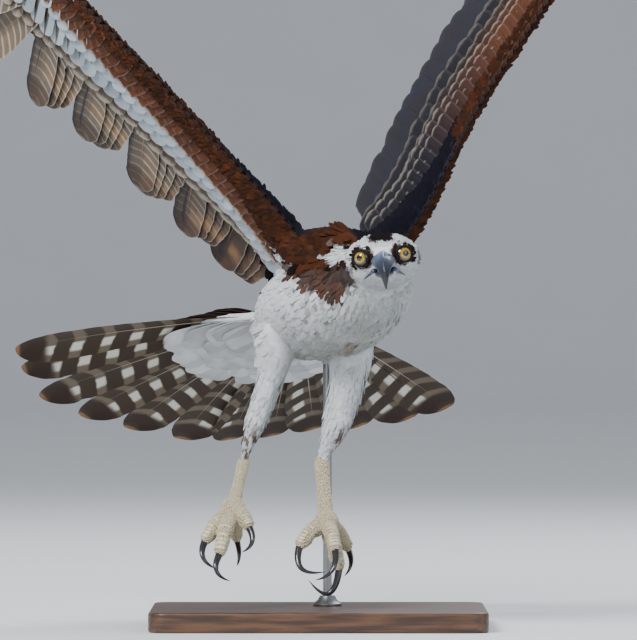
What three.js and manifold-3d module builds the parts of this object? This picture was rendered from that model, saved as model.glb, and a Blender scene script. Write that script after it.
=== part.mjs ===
// Osprey in slow flight with its feet let down, at life size, on a plain display stand.
// Millimetres, +Z up. The origin is the middle of the stand's underside. The bird looks along -Y,
// so its left side is at +X. It is banked and turned as it was seen, a little to its own left.
import * as THREE from 'three';
import { mergeVertices } from 'three/addons/utils/BufferGeometryUtils.js';
import Module from 'manifold-3d';

const wasm = await Module();
wasm.setup();

const gap = 0.3; // between pieces that touch
const p = (x, y, z) => new THREE.Vector3(x, y, z);
const up = p(0, 0, 1);

// Driving sizes of the stand
const baseWidth = 300;
const baseDepth = 240;
const baseHeight = 18;
const baseCorner = 16;
const baseBevel = 2.5;
const rodRadius = 4;
const rodFoot = p(8, 30, baseHeight);
const rodTop = 270; // inside the belly, then cut to its surface
const collarRadius = 13;
const collarHeight = 9;

// Driving sizes of the body, from the rump to the nape: middle, half width, half height
const trunk = [
  { at: p(-36, 114, 261), wide: 16, tall: 10 },
  { at: p(-28, 86, 269), wide: 33, tall: 26 },
  { at: p(-14, 46, 278), wide: 49, tall: 43 },
  { at: p(3, 2, 286), wide: 57, tall: 51 },
  { at: p(21, -40, 293), wide: 58, tall: 52 },
  { at: p(36, -76, 300), wide: 51, tall: 47 },
  { at: p(47, -103, 309), wide: 42, tall: 40 },
  { at: p(54, -126, 321), wide: 34, tall: 30 },
];
const neckStart = 0.74; // share of the trunk's length where the neck leaves the torso
const trunkSides = 20;

// Head, in its own frame: x to the bird's left, y to the back, z up
const headAt = p(56, -138, 328);
const headRoll = -0.1; // radians, the left side higher
const headHalf = p(35, 40, 26);
const eyeAt = p(16.6, -25.6, 2.6);
const eyeRadius = 9;
const lidRadius = 7.3;
const lidTube = 1.5;
const mouthAt = p(0, -24, -13);
const mouthHalf = p(21, 22, 0.7);

// Bill: middle of each section in the head's frame, half width, half height
const billUpper = [
  { at: p(0, -27, -1), wide: 10.5, tall: 8 },
  { at: p(0, -38, -1), wide: 10.5, tall: 8 },
  { at: p(0, -47, -2.5), wide: 9.2, tall: 7.6 },
  { at: p(0, -56, -6.5), wide: 7, tall: 6.4 },
  { at: p(0, -61.5, -13), wide: 4.4, tall: 4.6 },
  { at: p(0, -62.5, -20), wide: 2.3, tall: 2.6 },
  { at: p(0, -61, -26.5), wide: 0.7, tall: 0.8 },
];
const billLower = [
  { at: p(0, -27, -12), wide: 8.5, tall: 4 },
  { at: p(0, -40, -13), wide: 7.8, tall: 3.6 },
  { at: p(0, -49, -13.4), wide: 5.6, tall: 2.8 },
  { at: p(0, -55, -13.4), wide: 2.6, tall: 1.6 },
];

// Legs: middle, half width, half depth, from the belly to the ankle and on to the foot
const legs = {
  right: {
    thigh: [
      { at: p(-34, 6, 266), wide: 25, tall: 30 },
      { at: p(-42, 5, 226), wide: 15, tall: 19 },
      { at: p(-56, 2, 184), wide: 12, tall: 13 },
      { at: p(-65, 2, 157), wide: 7.2, tall: 7.6 },
      { at: p(-67.5, 2, 146), wide: 6.4, tall: 7 },
    ],
    foot: p(-76, -36, 107),
    shank: 5.6,
    toes: [
      { end: p(-102, -50, 77), claw: [p(-102, -60, 64), p(-89, -58, 54)] },
      { end: p(-88, -64, 66), claw: [p(-90, -73, 53), p(-78, -66, 44)] },
      { end: p(-73, -8, 78), claw: [p(-71, 0, 65), p(-73, -9, 55)] },
      { end: p(-61, -50, 90), claw: [p(-59, -57, 78), p(-68, -55, 69)] },
    ],
  },
  left: {
    thigh: [
      { at: p(28, 0, 266), wide: 27, tall: 32 },
      { at: p(26, -2, 222), wide: 19, tall: 21 },
      { at: p(16, -6, 182), wide: 15, tall: 15 },
      { at: p(6, -9, 157), wide: 9, tall: 9 },
      { at: p(3, -10, 146), wide: 7.6, tall: 8 },
    ],
    foot: p(7, -38, 96),
    shank: 6.6,
    toes: [
      { end: p(-18, -52, 73), claw: [p(-15, -62, 55), p(6, -61, 52)] },
      { end: p(15, -66, 70), claw: [p(12, -78, 54), p(-3, -72, 45)] },
      { end: p(19, -36, 52), claw: [p(9, -38, 32), p(-9, -40, 44)] },
      { end: p(27, -8, 70), claw: [p(29, 2, 57), p(23, -5, 46)] },
    ],
  },
};
const palmRadius = 9;
const toeRadius = 4.6;
const clawRadius = 3.1;

// Tail: the quills meet at one point, and lie in one plane
const tailPoint = p(-16, 76, 283);
const tailAxis = p(-0.328, 0.824, -0.462).normalize();
const tailSide = p(-0.92, -0.364, 0.005).normalize(); // to the bird's right
const tailTop = new THREE.Vector3().crossVectors(tailAxis, tailSide).normalize(); // dorsal way
const tailAngles = [75, 66, 51, 36.5, 22.5, 8, -3.5, -13, -22, -32, -41.5, -49]; // degrees
const tailLengths = [262, 258, 258, 250, 246, 252, 252, 250, 248, 262, 276, 282];
const tailMiddle = 4; // degrees, where the fan parts into its right and left halves
const tailWidth = 52;

// Wings: leading edge from shoulder to tip, chord line at shoulder, wrist and tip
const wings = {
  right: {
    lead: [
      p(2, -58, 326), p(-40, -70, 378), p(-124, -78, 470), p(-205, -82, 556),
      p(-272, -52, 640), p(-372, 18, 770), p(-488, 104, 918),
    ],
    chord: [p(-0.36, 0.90, -0.24), p(-0.46, 0.80, -0.36), p(-0.62, 0.62, -0.46)],
  },
  left: {
    lead: [
      p(56, -52, 322), p(95, -58, 372), p(142, -66, 462), p(206, -68, 560),
      p(264, -36, 650), p(350, 34, 800), p(452, 116, 966),
    ],
    chord: [p(-0.38, 0.91, 0.14), p(-0.36, 0.91, 0.18), p(-0.20, 0.90, -0.10)],
  },
};
const wristU = 0.41; // share of the leading edge at the wrist
const handU = 0.56; // share at the end of the hand's bones
const wingChord = [[0, 150], [0.2, 158], [0.41, 160], [0.56, 168], [0.75, 118], [0.9, 62], [1, 6]];
const fleshDepth = [[0, 84], [0.08, 66], [0.2, 54], [0.41, 46], [0.58, 20]];
const fleshThick = [[0, 36], [0.06, 26], [0.14, 17], [0.41, 13], [0.58, 5]];

// Feathers: share of the length against share of the full width
const vaneThick = 0.95;
const bladeShape = [[0, 0.2], [0.22, 0.85], [0.62, 1], [0.88, 0.82], [1, 0.22]];
const fingerShape = [[0, 0.2], [0.22, 0.9], [0.5, 0.95], [0.66, 0.6], [0.92, 0.5], [1, 0.14]];
const covertShape = [[0, 0.35], [0.45, 1], [0.84, 0.85], [1, 0.3]];
const shortShape = [[0, 0.4], [0.62, 1], [1, 0.4]];
const tailShape = [[0, 0.2], [0.3, 0.62], [0.62, 0.92], [0.92, 0.98], [1, 0.45]];
const plateShape = [[0, 0.8], [0.7, 1], [1, 0.7]];
const primaryCount = 10;
const primaryWidth = 36;
const secondaries = { count: 12, start: 0.05, end: 0.405, from: 0.6, to: 1, root: 0, rise: 0, width: 40 };
const greaterAbove = { count: 9, start: 0.06, end: 0.5, from: 0.4, to: 0.62, root: 4.2, rise: 6.6, width: 42 };
const greaterBelow = { count: 9, start: 0.07, end: 0.5, from: 0.4, to: 0.62, root: -3.6, rise: -4.6, width: 42 };
const medianAbove = { count: 8, start: 0.08, end: 0.46, from: 0.12, to: 0.4, root: 4, rise: 11, width: 46 };

const material = (color, roughness, metalness = 0) => new THREE.MeshStandardMaterial({ color, roughness, metalness });
const materials = {
  white: () => material(0xe6e2d8, 0.85),
  brown: () => material(0x55382a, 0.8),
  grey: () => material(0x8a8072, 0.8),
  eye: () => material(0xd9a312, 0.15),
  bill: () => material(0x2c3038, 0.35),
  claw: () => material(0x17181b, 0.25),
  skin: () => material(0xc8bb9c, 0.6),
  wood: () => material(0x4a3426, 0.45),
  steel: () => material(0x8d9094, 0.35, 1),
};

const bird = new THREE.Group();

// A closed geometry as a solid that can be cut and joined, its faces turned outwards
function solid(geometry) {
  geometry.deleteAttribute('normal');
  geometry.deleteAttribute('uv');
  const merged = mergeVertices(geometry, 1e-3);
  const corners = new Uint32Array(merged.index.array);
  const places = merged.attributes.position;
  const corner = (i) => new THREE.Vector3().fromBufferAttribute(places, corners[i]);
  let volume = 0;
  for (let i = 0; i < corners.length; i += 3) {
    volume += corner(i).dot(corner(i + 1).cross(corner(i + 2)));
  }
  if (volume < 0) corners.reverse();
  return new wasm.Manifold(new wasm.Mesh({
    numProp: 3,
    vertProperties: new Float32Array(places.array),
    triVerts: corners,
  }));
}

// The largest closed surface of a solid
function largest(body) {
  return body.decompose().reduce((best, piece) => (piece.volume() > best.volume() ? piece : best));
}

function union(pieces) {
  return pieces.reduce((sum, piece) => sum.add(piece));
}

function addNode(name, body, look) {
  const mesh = largest(body).getMesh();
  const geometry = new THREE.BufferGeometry();
  geometry.setAttribute('position', new THREE.BufferAttribute(new Float32Array(mesh.vertProperties), 3));
  geometry.setIndex(Array.from(mesh.triVerts));
  geometry.computeVertexNormals();
  const node = new THREE.Mesh(geometry, look);
  node.name = name;
  bird.add(node);
}

// Skin over rings of points, closed by a fan at each end. A thin blade is split alike on both faces.
function loft(rings, thin = false) {
  const count = rings[0].length;
  const points = rings.flat();
  const first = points.length;
  const middle = (ring) => ring.reduce((sum, q) => sum.add(q), p(0, 0, 0)).divideScalar(count);
  points.push(middle(rings[0]), middle(rings[rings.length - 1]));
  const index = [];
  for (let r = 0; r + 1 < rings.length; r += 1) {
    for (let k = 0; k < count; k += 1) {
      const a = r * count + k;
      const b = r * count + (k + 1) % count;
      if (thin && k >= count / 2) index.push(a, b, a + count, b, b + count, a + count);
      else index.push(a, b, b + count, a, b + count, a + count);
    }
  }
  const last = (rings.length - 1) * count;
  for (let k = 0; k < count; k += 1) {
    const next = (k + 1) % count;
    index.push(first, next, k, first + 1, last + k, last + next);
  }
  const geometry = new THREE.BufferGeometry();
  geometry.setAttribute('position', new THREE.Float32BufferAttribute(points.flatMap((q) => [q.x, q.y, q.z]), 3));
  geometry.setIndex(index);
  return geometry;
}

// Sections along a smooth line through stations { at, wide, tall }
function sectionsAlong(stations, from, to, count) {
  const line = new THREE.CatmullRomCurve3(stations.map((s) => s.at), false, 'centripetal');
  const size = new THREE.CatmullRomCurve3(stations.map((s) => p(s.wide, s.tall, 0)), false, 'catmullrom');
  const sections = [];
  for (let i = 0; i <= count; i += 1) {
    const t = from + (to - from) * (i / count);
    const half = size.getPoint(t);
    sections.push({ at: line.getPoint(t), ahead: line.getTangent(t), wide: half.x, tall: half.y });
  }
  return sections;
}

// Oval body over sections. The side direction stays level unless another is given.
function ovalBody(sections, sides, grow = 0, across = null) {
  const rings = sections.map((s) => {
    const side = across ? across.clone() : new THREE.Vector3().crossVectors(s.ahead, up);
    side.addScaledVector(s.ahead, -side.dot(s.ahead)).normalize();
    const rise = new THREE.Vector3().crossVectors(side, s.ahead).normalize();
    const ring = [];
    for (let k = 0; k < sides; k += 1) {
      const a = (k / sides) * Math.PI * 2;
      ring.push(s.at.clone()
        .addScaledVector(side, Math.cos(a) * (s.wide + grow))
        .addScaledVector(rise, -Math.sin(a) * (s.tall + grow)));
    }
    return ring;
  });
  if (grow > 0) {
    const first = sections[0];
    const last = sections[sections.length - 1];
    rings[0].forEach((q) => q.addScaledVector(first.ahead, -grow));
    rings[rings.length - 1].forEach((q) => q.addScaledVector(last.ahead, grow));
  }
  return solid(loft(rings));
}

function ellipsoid(at, half, across, down) {
  const shape = new THREE.SphereGeometry(1, across, down);
  shape.scale(half.x, half.y, half.z);
  shape.translate(at.x, at.y, at.z);
  return solid(shape);
}

// Stand

function addStand(torsoClear) {
  const w = baseWidth / 2 - baseBevel - baseCorner;
  const d = baseDepth / 2 - baseBevel - baseCorner;
  const outline = new THREE.Shape();
  outline.absarc(w, d, baseCorner, 0, Math.PI / 2);
  outline.absarc(-w, d, baseCorner, Math.PI / 2, Math.PI);
  outline.absarc(-w, -d, baseCorner, Math.PI, Math.PI * 1.5);
  outline.absarc(w, -d, baseCorner, Math.PI * 1.5, Math.PI * 2);
  const slab = new THREE.ExtrudeGeometry(outline, {
    depth: baseHeight - baseBevel * 2,
    bevelSize: baseBevel,
    bevelThickness: baseBevel,
    bevelSegments: 1,
    curveSegments: 3,
  });
  slab.translate(0, 0, baseBevel);
  addNode('stand_base', solid(slab), materials.wood());

  const profile = [
    [rodRadius + gap, 0], [collarRadius, 0], [collarRadius, 2.5], [rodRadius + 3, collarHeight],
    [rodRadius + gap, collarHeight], [rodRadius + gap, 0],
  ].map(([x, y]) => new THREE.Vector2(x, y));
  const collar = new THREE.LatheGeometry(profile, 18);
  collar.rotateX(Math.PI / 2);
  collar.translate(rodFoot.x, rodFoot.y, baseHeight + gap);
  addNode('stand_collar', solid(collar), materials.steel());

  const length = rodTop - baseHeight;
  const rod = new THREE.CylinderGeometry(rodRadius, rodRadius, length, 16);
  rod.rotateX(Math.PI / 2);
  rod.translate(rodFoot.x, rodFoot.y, baseHeight + gap + length / 2);
  addNode('stand_rod', solid(rod).subtract(torsoClear), materials.steel());
}

// Head

function headPlace(body) {
  const turn = new THREE.Matrix4().makeRotationY(headRoll);
  turn.setPosition(headAt);
  return body.transform(turn.elements);
}

// An oval skull, narrow at the bill and flat on the crown, with a brow over each eye
function skull(grow) {
  const shape = new THREE.SphereGeometry(1, 20, 13);
  const at = shape.attributes.position;
  for (let i = 0; i < at.count; i += 1) {
    const d = p(at.getX(i), -at.getZ(i), at.getY(i));
    const front = Math.max(0, -d.y);
    const brow = Math.exp(-((d.z - 0.42) ** 2) / 0.03 - ((Math.abs(d.x) - 0.5) ** 2) / 0.05) * front;
    const cheek = Math.exp(-((d.z + 0.35) ** 2) / 0.1) * front;
    const narrow = 1 - 0.2 * front ** 2;
    const flat = d.z > 0 ? 0.98 : 1.12;
    at.setXYZ(
      i,
      d.x * (headHalf.x * narrow + brow * 2.5 + cheek * 1.5 + grow),
      d.y * (headHalf.y + brow * 3 + grow),
      d.z * (headHalf.z * flat + brow * 2 + grow),
    );
  }
  return solid(shape);
}

function eyeBall(side, grow) {
  const ball = new THREE.SphereGeometry(eyeRadius + grow, 12, 8);
  ball.translate(side * eyeAt.x, eyeAt.y, eyeAt.z);
  return solid(ball);
}

// A ring of lid round each eye, facing the way the eye looks
function lid(side) {
  const ring = new THREE.TorusGeometry(lidRadius, lidTube, 5, 12);
  const look = p(side * 0.5, -0.86, 0.08).normalize();
  ring.applyQuaternion(new THREE.Quaternion().setFromUnitVectors(up, look));
  const at = p(side * eyeAt.x, eyeAt.y, eyeAt.z).addScaledVector(look, eyeRadius - 3.4);
  ring.translate(at.x, at.y, at.z);
  return solid(ring);
}

function billPart(stations, grow) {
  return ovalBody(sectionsAlong(stations, 0, 1, 7), 10, grow, p(1, 0, 0));
}

function addHead() {
  const eyes = eyeBall(1, gap).add(eyeBall(-1, gap));
  const upper = billPart(billUpper, 0).subtract(eyes);
  const nostril = (side) => ellipsoid(p(side * 8.4, -42.5, 2.4), p(1.6, 2.6, 1.3), 7, 5);
  const lower = billPart(billLower, 0).subtract(billPart(billUpper, gap)).subtract(eyes);
  let head = skull(0).add(lid(1)).add(lid(-1));
  head = head.subtract(ellipsoid(mouthAt, mouthHalf, 14, 4));
  head = head.subtract(billPart(billUpper, gap)).subtract(billPart(billLower, gap));
  head = head.subtract(eyes);
  addNode('head', headPlace(head), materials.white());
  addNode('eye_left', headPlace(eyeBall(1, 0)), materials.eye());
  addNode('eye_right', headPlace(eyeBall(-1, 0)), materials.eye());
  addNode('bill_upper', headPlace(upper.subtract(nostril(1)).subtract(nostril(-1))), materials.bill());
  addNode('bill_lower', headPlace(lower), materials.bill());
  return headPlace(skull(gap));
}

// Torso and neck are one smooth body, parted by a thin gap

function trunkPart(from, to, count, grow = 0) {
  return ovalBody(sectionsAlong(trunk, from, to, count), trunkSides, grow);
}

function addTrunk(headClear) {
  addNode('torso', trunkPart(0, neckStart, 11), materials.white());
  addNode('neck', trunkPart(neckStart + gap / 260, 1, 4).subtract(headClear), materials.white());
}

// Legs

function clawBody(end, bend, tip) {
  const sections = sectionsAlong([
    { at: end, wide: clawRadius, tall: clawRadius },
    { at: bend, wide: clawRadius * 0.72, tall: clawRadius * 0.72 },
    { at: tip, wide: 0.35, tall: 0.35 },
  ], 0, 1, 5);
  return ovalBody(sections, 6, 0, p(1, 0.2, 0));
}

function toeBody(foot, toe, grow = 0) {
  const mid = foot.clone().lerp(toe.end, 0.55).add(p(0, 0, 4));
  const sections = sectionsAlong([
    { at: foot, wide: toeRadius * 1.2, tall: toeRadius * 1.2 },
    { at: mid, wide: toeRadius * 1.02, tall: toeRadius * 1.1 },
    { at: toe.end, wide: toeRadius * 0.82, tall: toeRadius * 0.86 },
  ], 0, 1, 4);
  return ovalBody(sections, 8, grow, p(1, 0.2, 0));
}

// Raised plates on the upper side of a toe or the front of a shank, each over the next
function scutes({ from, to, radius, face, count, width }) {
  const plates = [];
  for (let i = 0; i < count; i += 1) {
    const at = (share, rise) => from.clone().lerp(to, share).addScaledVector(face, rise);
    plates.push(vane({
      root: at(i / count, radius * 0.7),
      tip: at((i + 0.9) / count, radius + 0.6),
      outward: new THREE.Vector3().crossVectors(to.clone().sub(from), face),
      dorsal: face,
      width,
      thick: 1.4,
      tilt: 0,
      shape: plateShape,
    }));
  }
  return plates;
}

function addLeg(name, leg, torsoClear) {
  const ankle = leg.thigh[leg.thigh.length - 1];
  const along = leg.foot.clone().sub(ankle.at).normalize();
  const start = ankle.at.clone().addScaledVector(along, gap + 1);
  const shank = [
    { at: start, wide: leg.shank * 1.18, tall: leg.shank * 1.25 },
    { at: start.clone().lerp(leg.foot, 0.35), wide: leg.shank * 0.95, tall: leg.shank },
    { at: leg.foot, wide: leg.shank * 1.05, tall: leg.shank },
  ];
  const thigh = ovalBody(sectionsAlong(leg.thigh, 0, 1, 8), 12, 0, p(1, 0, 0));
  const thighClear = ovalBody(sectionsAlong(leg.thigh, 0, 1, 8), 12, gap, p(1, 0, 0));
  addNode(`thigh_${name}`, thigh.subtract(torsoClear), materials.white());
  const palm = ellipsoid(leg.foot, p(palmRadius, palmRadius, palmRadius * 0.85), 12, 8);
  const palmClear = ellipsoid(leg.foot, p(palmRadius + gap, palmRadius + gap, palmRadius * 0.85 + gap), 12, 8);
  const tarsus = ovalBody(sectionsAlong(shank, 0, 1, 5), 10, 0, p(1, 0, 0));
  addNode(`tarsus_${name}`, tarsus.subtract(palmClear).subtract(thighClear), materials.skin());
  const tarsusClear = ovalBody(sectionsAlong(shank, 0, 0.8, 4), 10, gap, p(1, 0, 0));
  const toePlates = leg.toes.flatMap((toe) => scutes({
    from: leg.foot.clone().lerp(toe.end, 0.62).add(p(0, 0, 2.6)),
    to: toe.end,
    radius: toeRadius * 0.8,
    face: p(0, -0.5, 0.87),
    count: 2,
    width: 6.5,
  }));
  const foot = union([palm, ...leg.toes.map((toe) => toeBody(leg.foot, toe)), ...toePlates]);
  addNode(`foot_${name}`, foot.subtract(tarsusClear), materials.skin());
  leg.toes.forEach((toe, i) => {
    const claw = clawBody(toe.end.clone().lerp(leg.foot, 0.05), ...toe.claw);
    addNode(`claw_${name}_${i + 1}`, claw.subtract(toeBody(leg.foot, toe, gap)), materials.claw());
  });
}

// Feathers

// Seeded draw, so that feathers vary a little and come out the same each time
let seed = 7;
function draw(spread) {
  seed = (seed * 16807) % 2147483647;
  return 1 + spread * ((seed / 2147483647) * 2 - 1);
}

// A flat vane from root to tip. Its outer edge is tipped up, so that it lies over the next one.
function vane({ root, tip, outward, dorsal, width, thick = vaneThick, tilt = 4.5, arch = 0.02, shape = bladeShape }) {
  const ahead = tip.clone().sub(root);
  const length = ahead.length();
  ahead.normalize();
  const side = outward.clone().addScaledVector(ahead, -outward.dot(ahead)).normalize();
  const face = new THREE.Vector3().crossVectors(ahead, side);
  if (face.dot(dorsal) < 0) face.negate();
  const lean = THREE.MathUtils.degToRad(tilt);
  const across = side.clone().multiplyScalar(Math.cos(lean)).addScaledVector(face, Math.sin(lean));
  const rise = face.clone().multiplyScalar(Math.cos(lean)).addScaledVector(side, -Math.sin(lean));
  const rings = shape.map(([along, wide]) => {
    const at = root.clone()
      .addScaledVector(ahead, along * length)
      .addScaledVector(face, arch * length * 4 * along * (1 - along));
    const half = (thick / 2) * (1 - 0.4 * along);
    const corner = (w, t) => at.clone().addScaledVector(across, w * wide * width).addScaledVector(rise, t * half);
    return [corner(0.42, 1), corner(-0.58, 1), corner(-0.58, -1), corner(0.42, -1)];
  });
  return solid(loft(rings, true));
}

// Tail

function tailDirection(degrees) {
  const a = THREE.MathUtils.degToRad(degrees);
  return tailAxis.clone().multiplyScalar(Math.cos(a)).addScaledVector(tailSide, Math.sin(a));
}

function tailSpot(degrees, radius, rise) {
  return tailPoint.clone()
    .addScaledVector(tailDirection(degrees), radius)
    .addScaledVector(tailTop, rise);
}

// Thick root under the coverts, which joins the quills round the back of the rump
function tailRoot() {
  const rings = [];
  for (let i = 0; i <= 12; i += 1) {
    const angle = tailAngles[0] + 4 + (tailAngles[11] - 4 - tailAngles[0] - 4) * (i / 12);
    const centre = 1 - Math.abs(i / 12 - 0.58);
    rings.push([
      tailSpot(angle, 30, 6), tailSpot(angle, 62 + 18 * centre, 4 + 3 * centre),
      tailSpot(angle, 84 + 26 * centre, 0.5), tailSpot(angle, 84 + 26 * centre, -0.5),
      tailSpot(angle, 62 + 18 * centre, -4 - 3 * centre), tailSpot(angle, 30, -6),
    ]);
  }
  return solid(loft(rings));
}

function tailRow(count, from, to, rise, width) {
  const row = [];
  for (let i = 0; i < count; i += 1) {
    const angle = tailAngles[0] - 6 + (tailAngles[11] + 12 - tailAngles[0]) * (i / (count - 1));
    const away = Math.sign(angle - tailMiddle) || 1;
    row.push(vane({
      root: tailSpot(angle, from, rise * 0.5),
      tip: tailSpot(angle, to * draw(0.05), rise),
      outward: tailDirection(angle + 90 * away),
      dorsal: tailTop,
      width,
      shape: covertShape,
    }));
  }
  return row;
}

function addTail(torsoClear) {
  const quills = tailAngles.map((angle, i) => vane({
    root: tailSpot(angle, 58, 0),
    tip: tailSpot(angle, tailLengths[i], -4),
    outward: tailDirection(angle + 90 * (Math.sign(angle - tailMiddle) || 1)),
    dorsal: tailTop,
    width: tailWidth,
    tilt: 4,
    arch: 0.015,
    shape: tailShape,
  }));
  const above = tailRow(6, 52, 128, 6.5, 44);
  const below = tailRow(6, 52, 122, -5.5, 44);
  addNode('tail', union([tailRoot(), ...quills, ...above, ...below]).subtract(torsoClear), materials.grey());
}

// Wings

function pick(table, u) {
  let i = 1;
  while (i < table.length - 1 && table[i][0] < u) i += 1;
  const [u0, v0] = table[i - 1];
  const [u1, v1] = table[i];
  return v0 + (v1 - v0) * ((u - u0) / (u1 - u0));
}

// Place on a wing's leading edge: point, way out, way back along the chord, dorsal way
function wingPlace(name, u) {
  const wing = wings[name];
  wing.curve ??= new THREE.CatmullRomCurve3(wing.lead, false, 'centripetal');
  const out = wing.curve.getTangentAt(u);
  const [atRoot, atWrist, atTip] = wing.chord;
  const back = u < wristU
    ? atRoot.clone().lerp(atWrist, u / wristU)
    : atWrist.clone().lerp(atTip, (u - wristU) / (1 - wristU));
  back.addScaledVector(out, -back.dot(out)).normalize();
  const dorsal = new THREE.Vector3().crossVectors(back, out);
  if (name === 'left') dorsal.negate();
  return { at: wing.curve.getPointAt(u), out, back, dorsal };
}

// Point at a share of the leading edge, so far back and so far above the wing's plane
function wingSpot(name, u, back, rise) {
  const place = wingPlace(name, u);
  return place.at.addScaledVector(place.back, back).addScaledVector(place.dorsal, rise);
}

// Flesh of the arm and hand, thick near the front, from the shoulder to the end of the bones
function wingFlesh(name) {
  const outline = [[0, 0], [0.12, 0.5], [0.42, 0.44], [1, 0.1], [1, -0.1], [0.42, -0.44], [0.12, -0.5]];
  const rings = [];
  for (let i = 0; i <= 10; i += 1) {
    const u = (i / 10) * (handU + 0.02);
    rings.push(outline.map(([x, y]) => wingSpot(name, u, x * pick(fleshDepth, u), y * pick(fleshThick, u))));
  }
  return solid(loft(rings));
}

// A row of feathers between two shares of the leading edge. from and to are shares of the flesh's
// depth and of the chord, root and rise the heights above the wing's plane, spread the lean outwards.
function wingRow(name, { count, start, end, from, to, root, rise, width, spread = [0, 0.02], shape }) {
  const row = [];
  for (let i = 0; i < count; i += 1) {
    const t = i / (count - 1);
    const u = start + (end - start) * t;
    const place = wingPlace(name, u);
    const lean = spread[0] + (spread[1] - spread[0]) * t;
    row.push(vane({
      root: wingSpot(name, u, pick(fleshDepth, u) * from, root),
      tip: wingSpot(name, Math.max(0, u + lean), pick(wingChord, u) * to * draw(0.025), rise),
      outward: place.out,
      dorsal: place.dorsal,
      width,
      shape,
    }));
  }
  return row;
}

// Primaries fan from the hand's bones to points along the outer trailing edge
function primaries(name) {
  const row = [];
  for (let i = 0; i < primaryCount; i += 1) {
    const t = i / (primaryCount - 1);
    const rootU = wristU + 0.02 + (handU - wristU - 0.02) * t;
    const tipU = i === primaryCount - 1 ? 0.965 : 0.475 + 0.53 * Math.min(1, (t / 0.89) ** 0.92);
    const reach = i === primaryCount - 1 ? 3 : pick(wingChord, Math.min(tipU, 1));
    const place = wingPlace(name, (rootU + Math.min(tipU, 1)) / 2);
    row.push(vane({
      root: wingSpot(name, rootU, pick(fleshDepth, rootU) * 0.55, 0),
      tip: wingSpot(name, Math.min(tipU, 1), reach * draw(0.02), 0),
      outward: place.out,
      dorsal: place.dorsal,
      width: primaryWidth,
      tilt: 6.5,
      arch: 0.01,
      shape: t > 0.55 ? fingerShape : bladeShape,
    }));
  }
  return row;
}

function addWing(name, torsoClear, neckClear) {
  const feathers = [
    ...wingRow(name, { ...secondaries, shape: bladeShape }),
    ...primaries(name),
    ...wingRow(name, { ...greaterAbove, shape: covertShape }),
    ...wingRow(name, { ...greaterBelow, shape: covertShape }),
    ...wingRow(name, { ...medianAbove, shape: shortShape }),
  ];
  const wing = union([wingFlesh(name), ...feathers]).subtract(torsoClear).subtract(neckClear);
  addNode(`wing_${name}`, wing, materials.brown());
}

const torsoClear = trunkPart(0, neckStart, 11, gap);
const neckClear = trunkPart(neckStart, 1, 7, gap);
const headClear = addHead();
addTrunk(headClear);
addLeg('right', legs.right, torsoClear);
addLeg('left', legs.left, torsoClear);
addTail(torsoClear);
addWing('right', torsoClear, neckClear);
addWing('left', torsoClear, neckClear);
addStand(torsoClear);

export default bird;
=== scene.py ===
import math
import bpy
import numpy as np
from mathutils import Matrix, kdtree


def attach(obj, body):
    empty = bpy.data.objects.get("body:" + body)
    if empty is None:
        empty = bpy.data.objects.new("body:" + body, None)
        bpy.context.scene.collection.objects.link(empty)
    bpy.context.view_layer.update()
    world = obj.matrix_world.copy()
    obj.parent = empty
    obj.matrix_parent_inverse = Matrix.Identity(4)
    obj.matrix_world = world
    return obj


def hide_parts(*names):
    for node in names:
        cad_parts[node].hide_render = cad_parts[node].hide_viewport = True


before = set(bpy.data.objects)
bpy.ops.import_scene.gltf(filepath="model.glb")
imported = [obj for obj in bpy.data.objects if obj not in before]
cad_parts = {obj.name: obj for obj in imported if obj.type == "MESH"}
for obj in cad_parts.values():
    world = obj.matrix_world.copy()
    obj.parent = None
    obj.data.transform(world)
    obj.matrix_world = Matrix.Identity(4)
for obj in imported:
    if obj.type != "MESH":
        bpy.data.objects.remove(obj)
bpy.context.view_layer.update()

mm = 0.001
rng = np.random.default_rng(11)
up = np.array([0.0, 0.0, 1.0])


# Colours are written as they look on a screen and turned to light values here
def tone(red, green, blue):
    parts = (c / 255 for c in (red, green, blue))
    return tuple(c / 12.92 if c < 0.039 else ((c + 0.055) / 1.055) ** 2.4 for c in parts)


colours = {
    "white": tone(230, 235, 240),
    # shade is painted shade: the grey laid on where the body faces down and under the chin
    "shade": tone(128, 132, 124),
    "brown": tone(56, 38, 30),
    "chestnut": tone(92, 52, 32),
    "dark": tone(32, 26, 27),
    # the blue-black here is the dark feather colour with a painted bluish sheen
    "blueSheenBlack": tone(28, 32, 50),
    "greyBrown": tone(104, 92, 78),
    "pale": tone(200, 205, 202),
    "paleBlue": tone(182, 198, 212),
    "buff": tone(158, 120, 80),
    "window": tone(226, 226, 216),
    # the near-black here is the dark feather colour with a painted bluish sheen
    "blueSheenNight": tone(30, 30, 40),
}


# Lines and lofts

def unit(v):
    return v / np.maximum(np.linalg.norm(v, axis=-1, keepdims=True), 1e-9)


def spline(points, t, centripetal=True):  # smooth line through points, t from 0 to 1
    pts = np.asarray(points, float)
    pts = np.vstack([2 * pts[0] - pts[1], pts, 2 * pts[-1] - pts[-2]])
    t = np.clip(np.atleast_1d(t), 0, 1) * (len(pts) - 3)
    i = np.minimum(t.astype(int), len(pts) - 4)
    w = (t - i)[:, None]
    p0, p1, p2, p3 = (pts[i + k] for k in range(4))
    if centripetal:
        steps = (p1 - p0, p2 - p1, p3 - p2)
        d = [np.maximum(np.linalg.norm(s, axis=1)[:, None] ** 0.5, 1e-6) for s in steps]
    else:
        d = [np.ones_like(w)] * 3
    m1 = ((p1 - p0) / d[0] - (p2 - p0) / (d[0] + d[1]) + (p2 - p1) / d[1]) * d[1]
    m2 = ((p2 - p1) / d[1] - (p3 - p1) / (d[1] + d[2]) + (p3 - p2) / d[2]) * d[1]
    w2, w3 = w * w, w * w * w
    return (2 * w3 - 3 * w2 + 1) * p1 + (w3 - 2 * w2 + w) * m1 + (3 * w2 - 2 * w3) * p2 + (w3 - w2) * m2


nearby = 0.004  # share of a line to each side of a place, for the line's direction there


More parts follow.
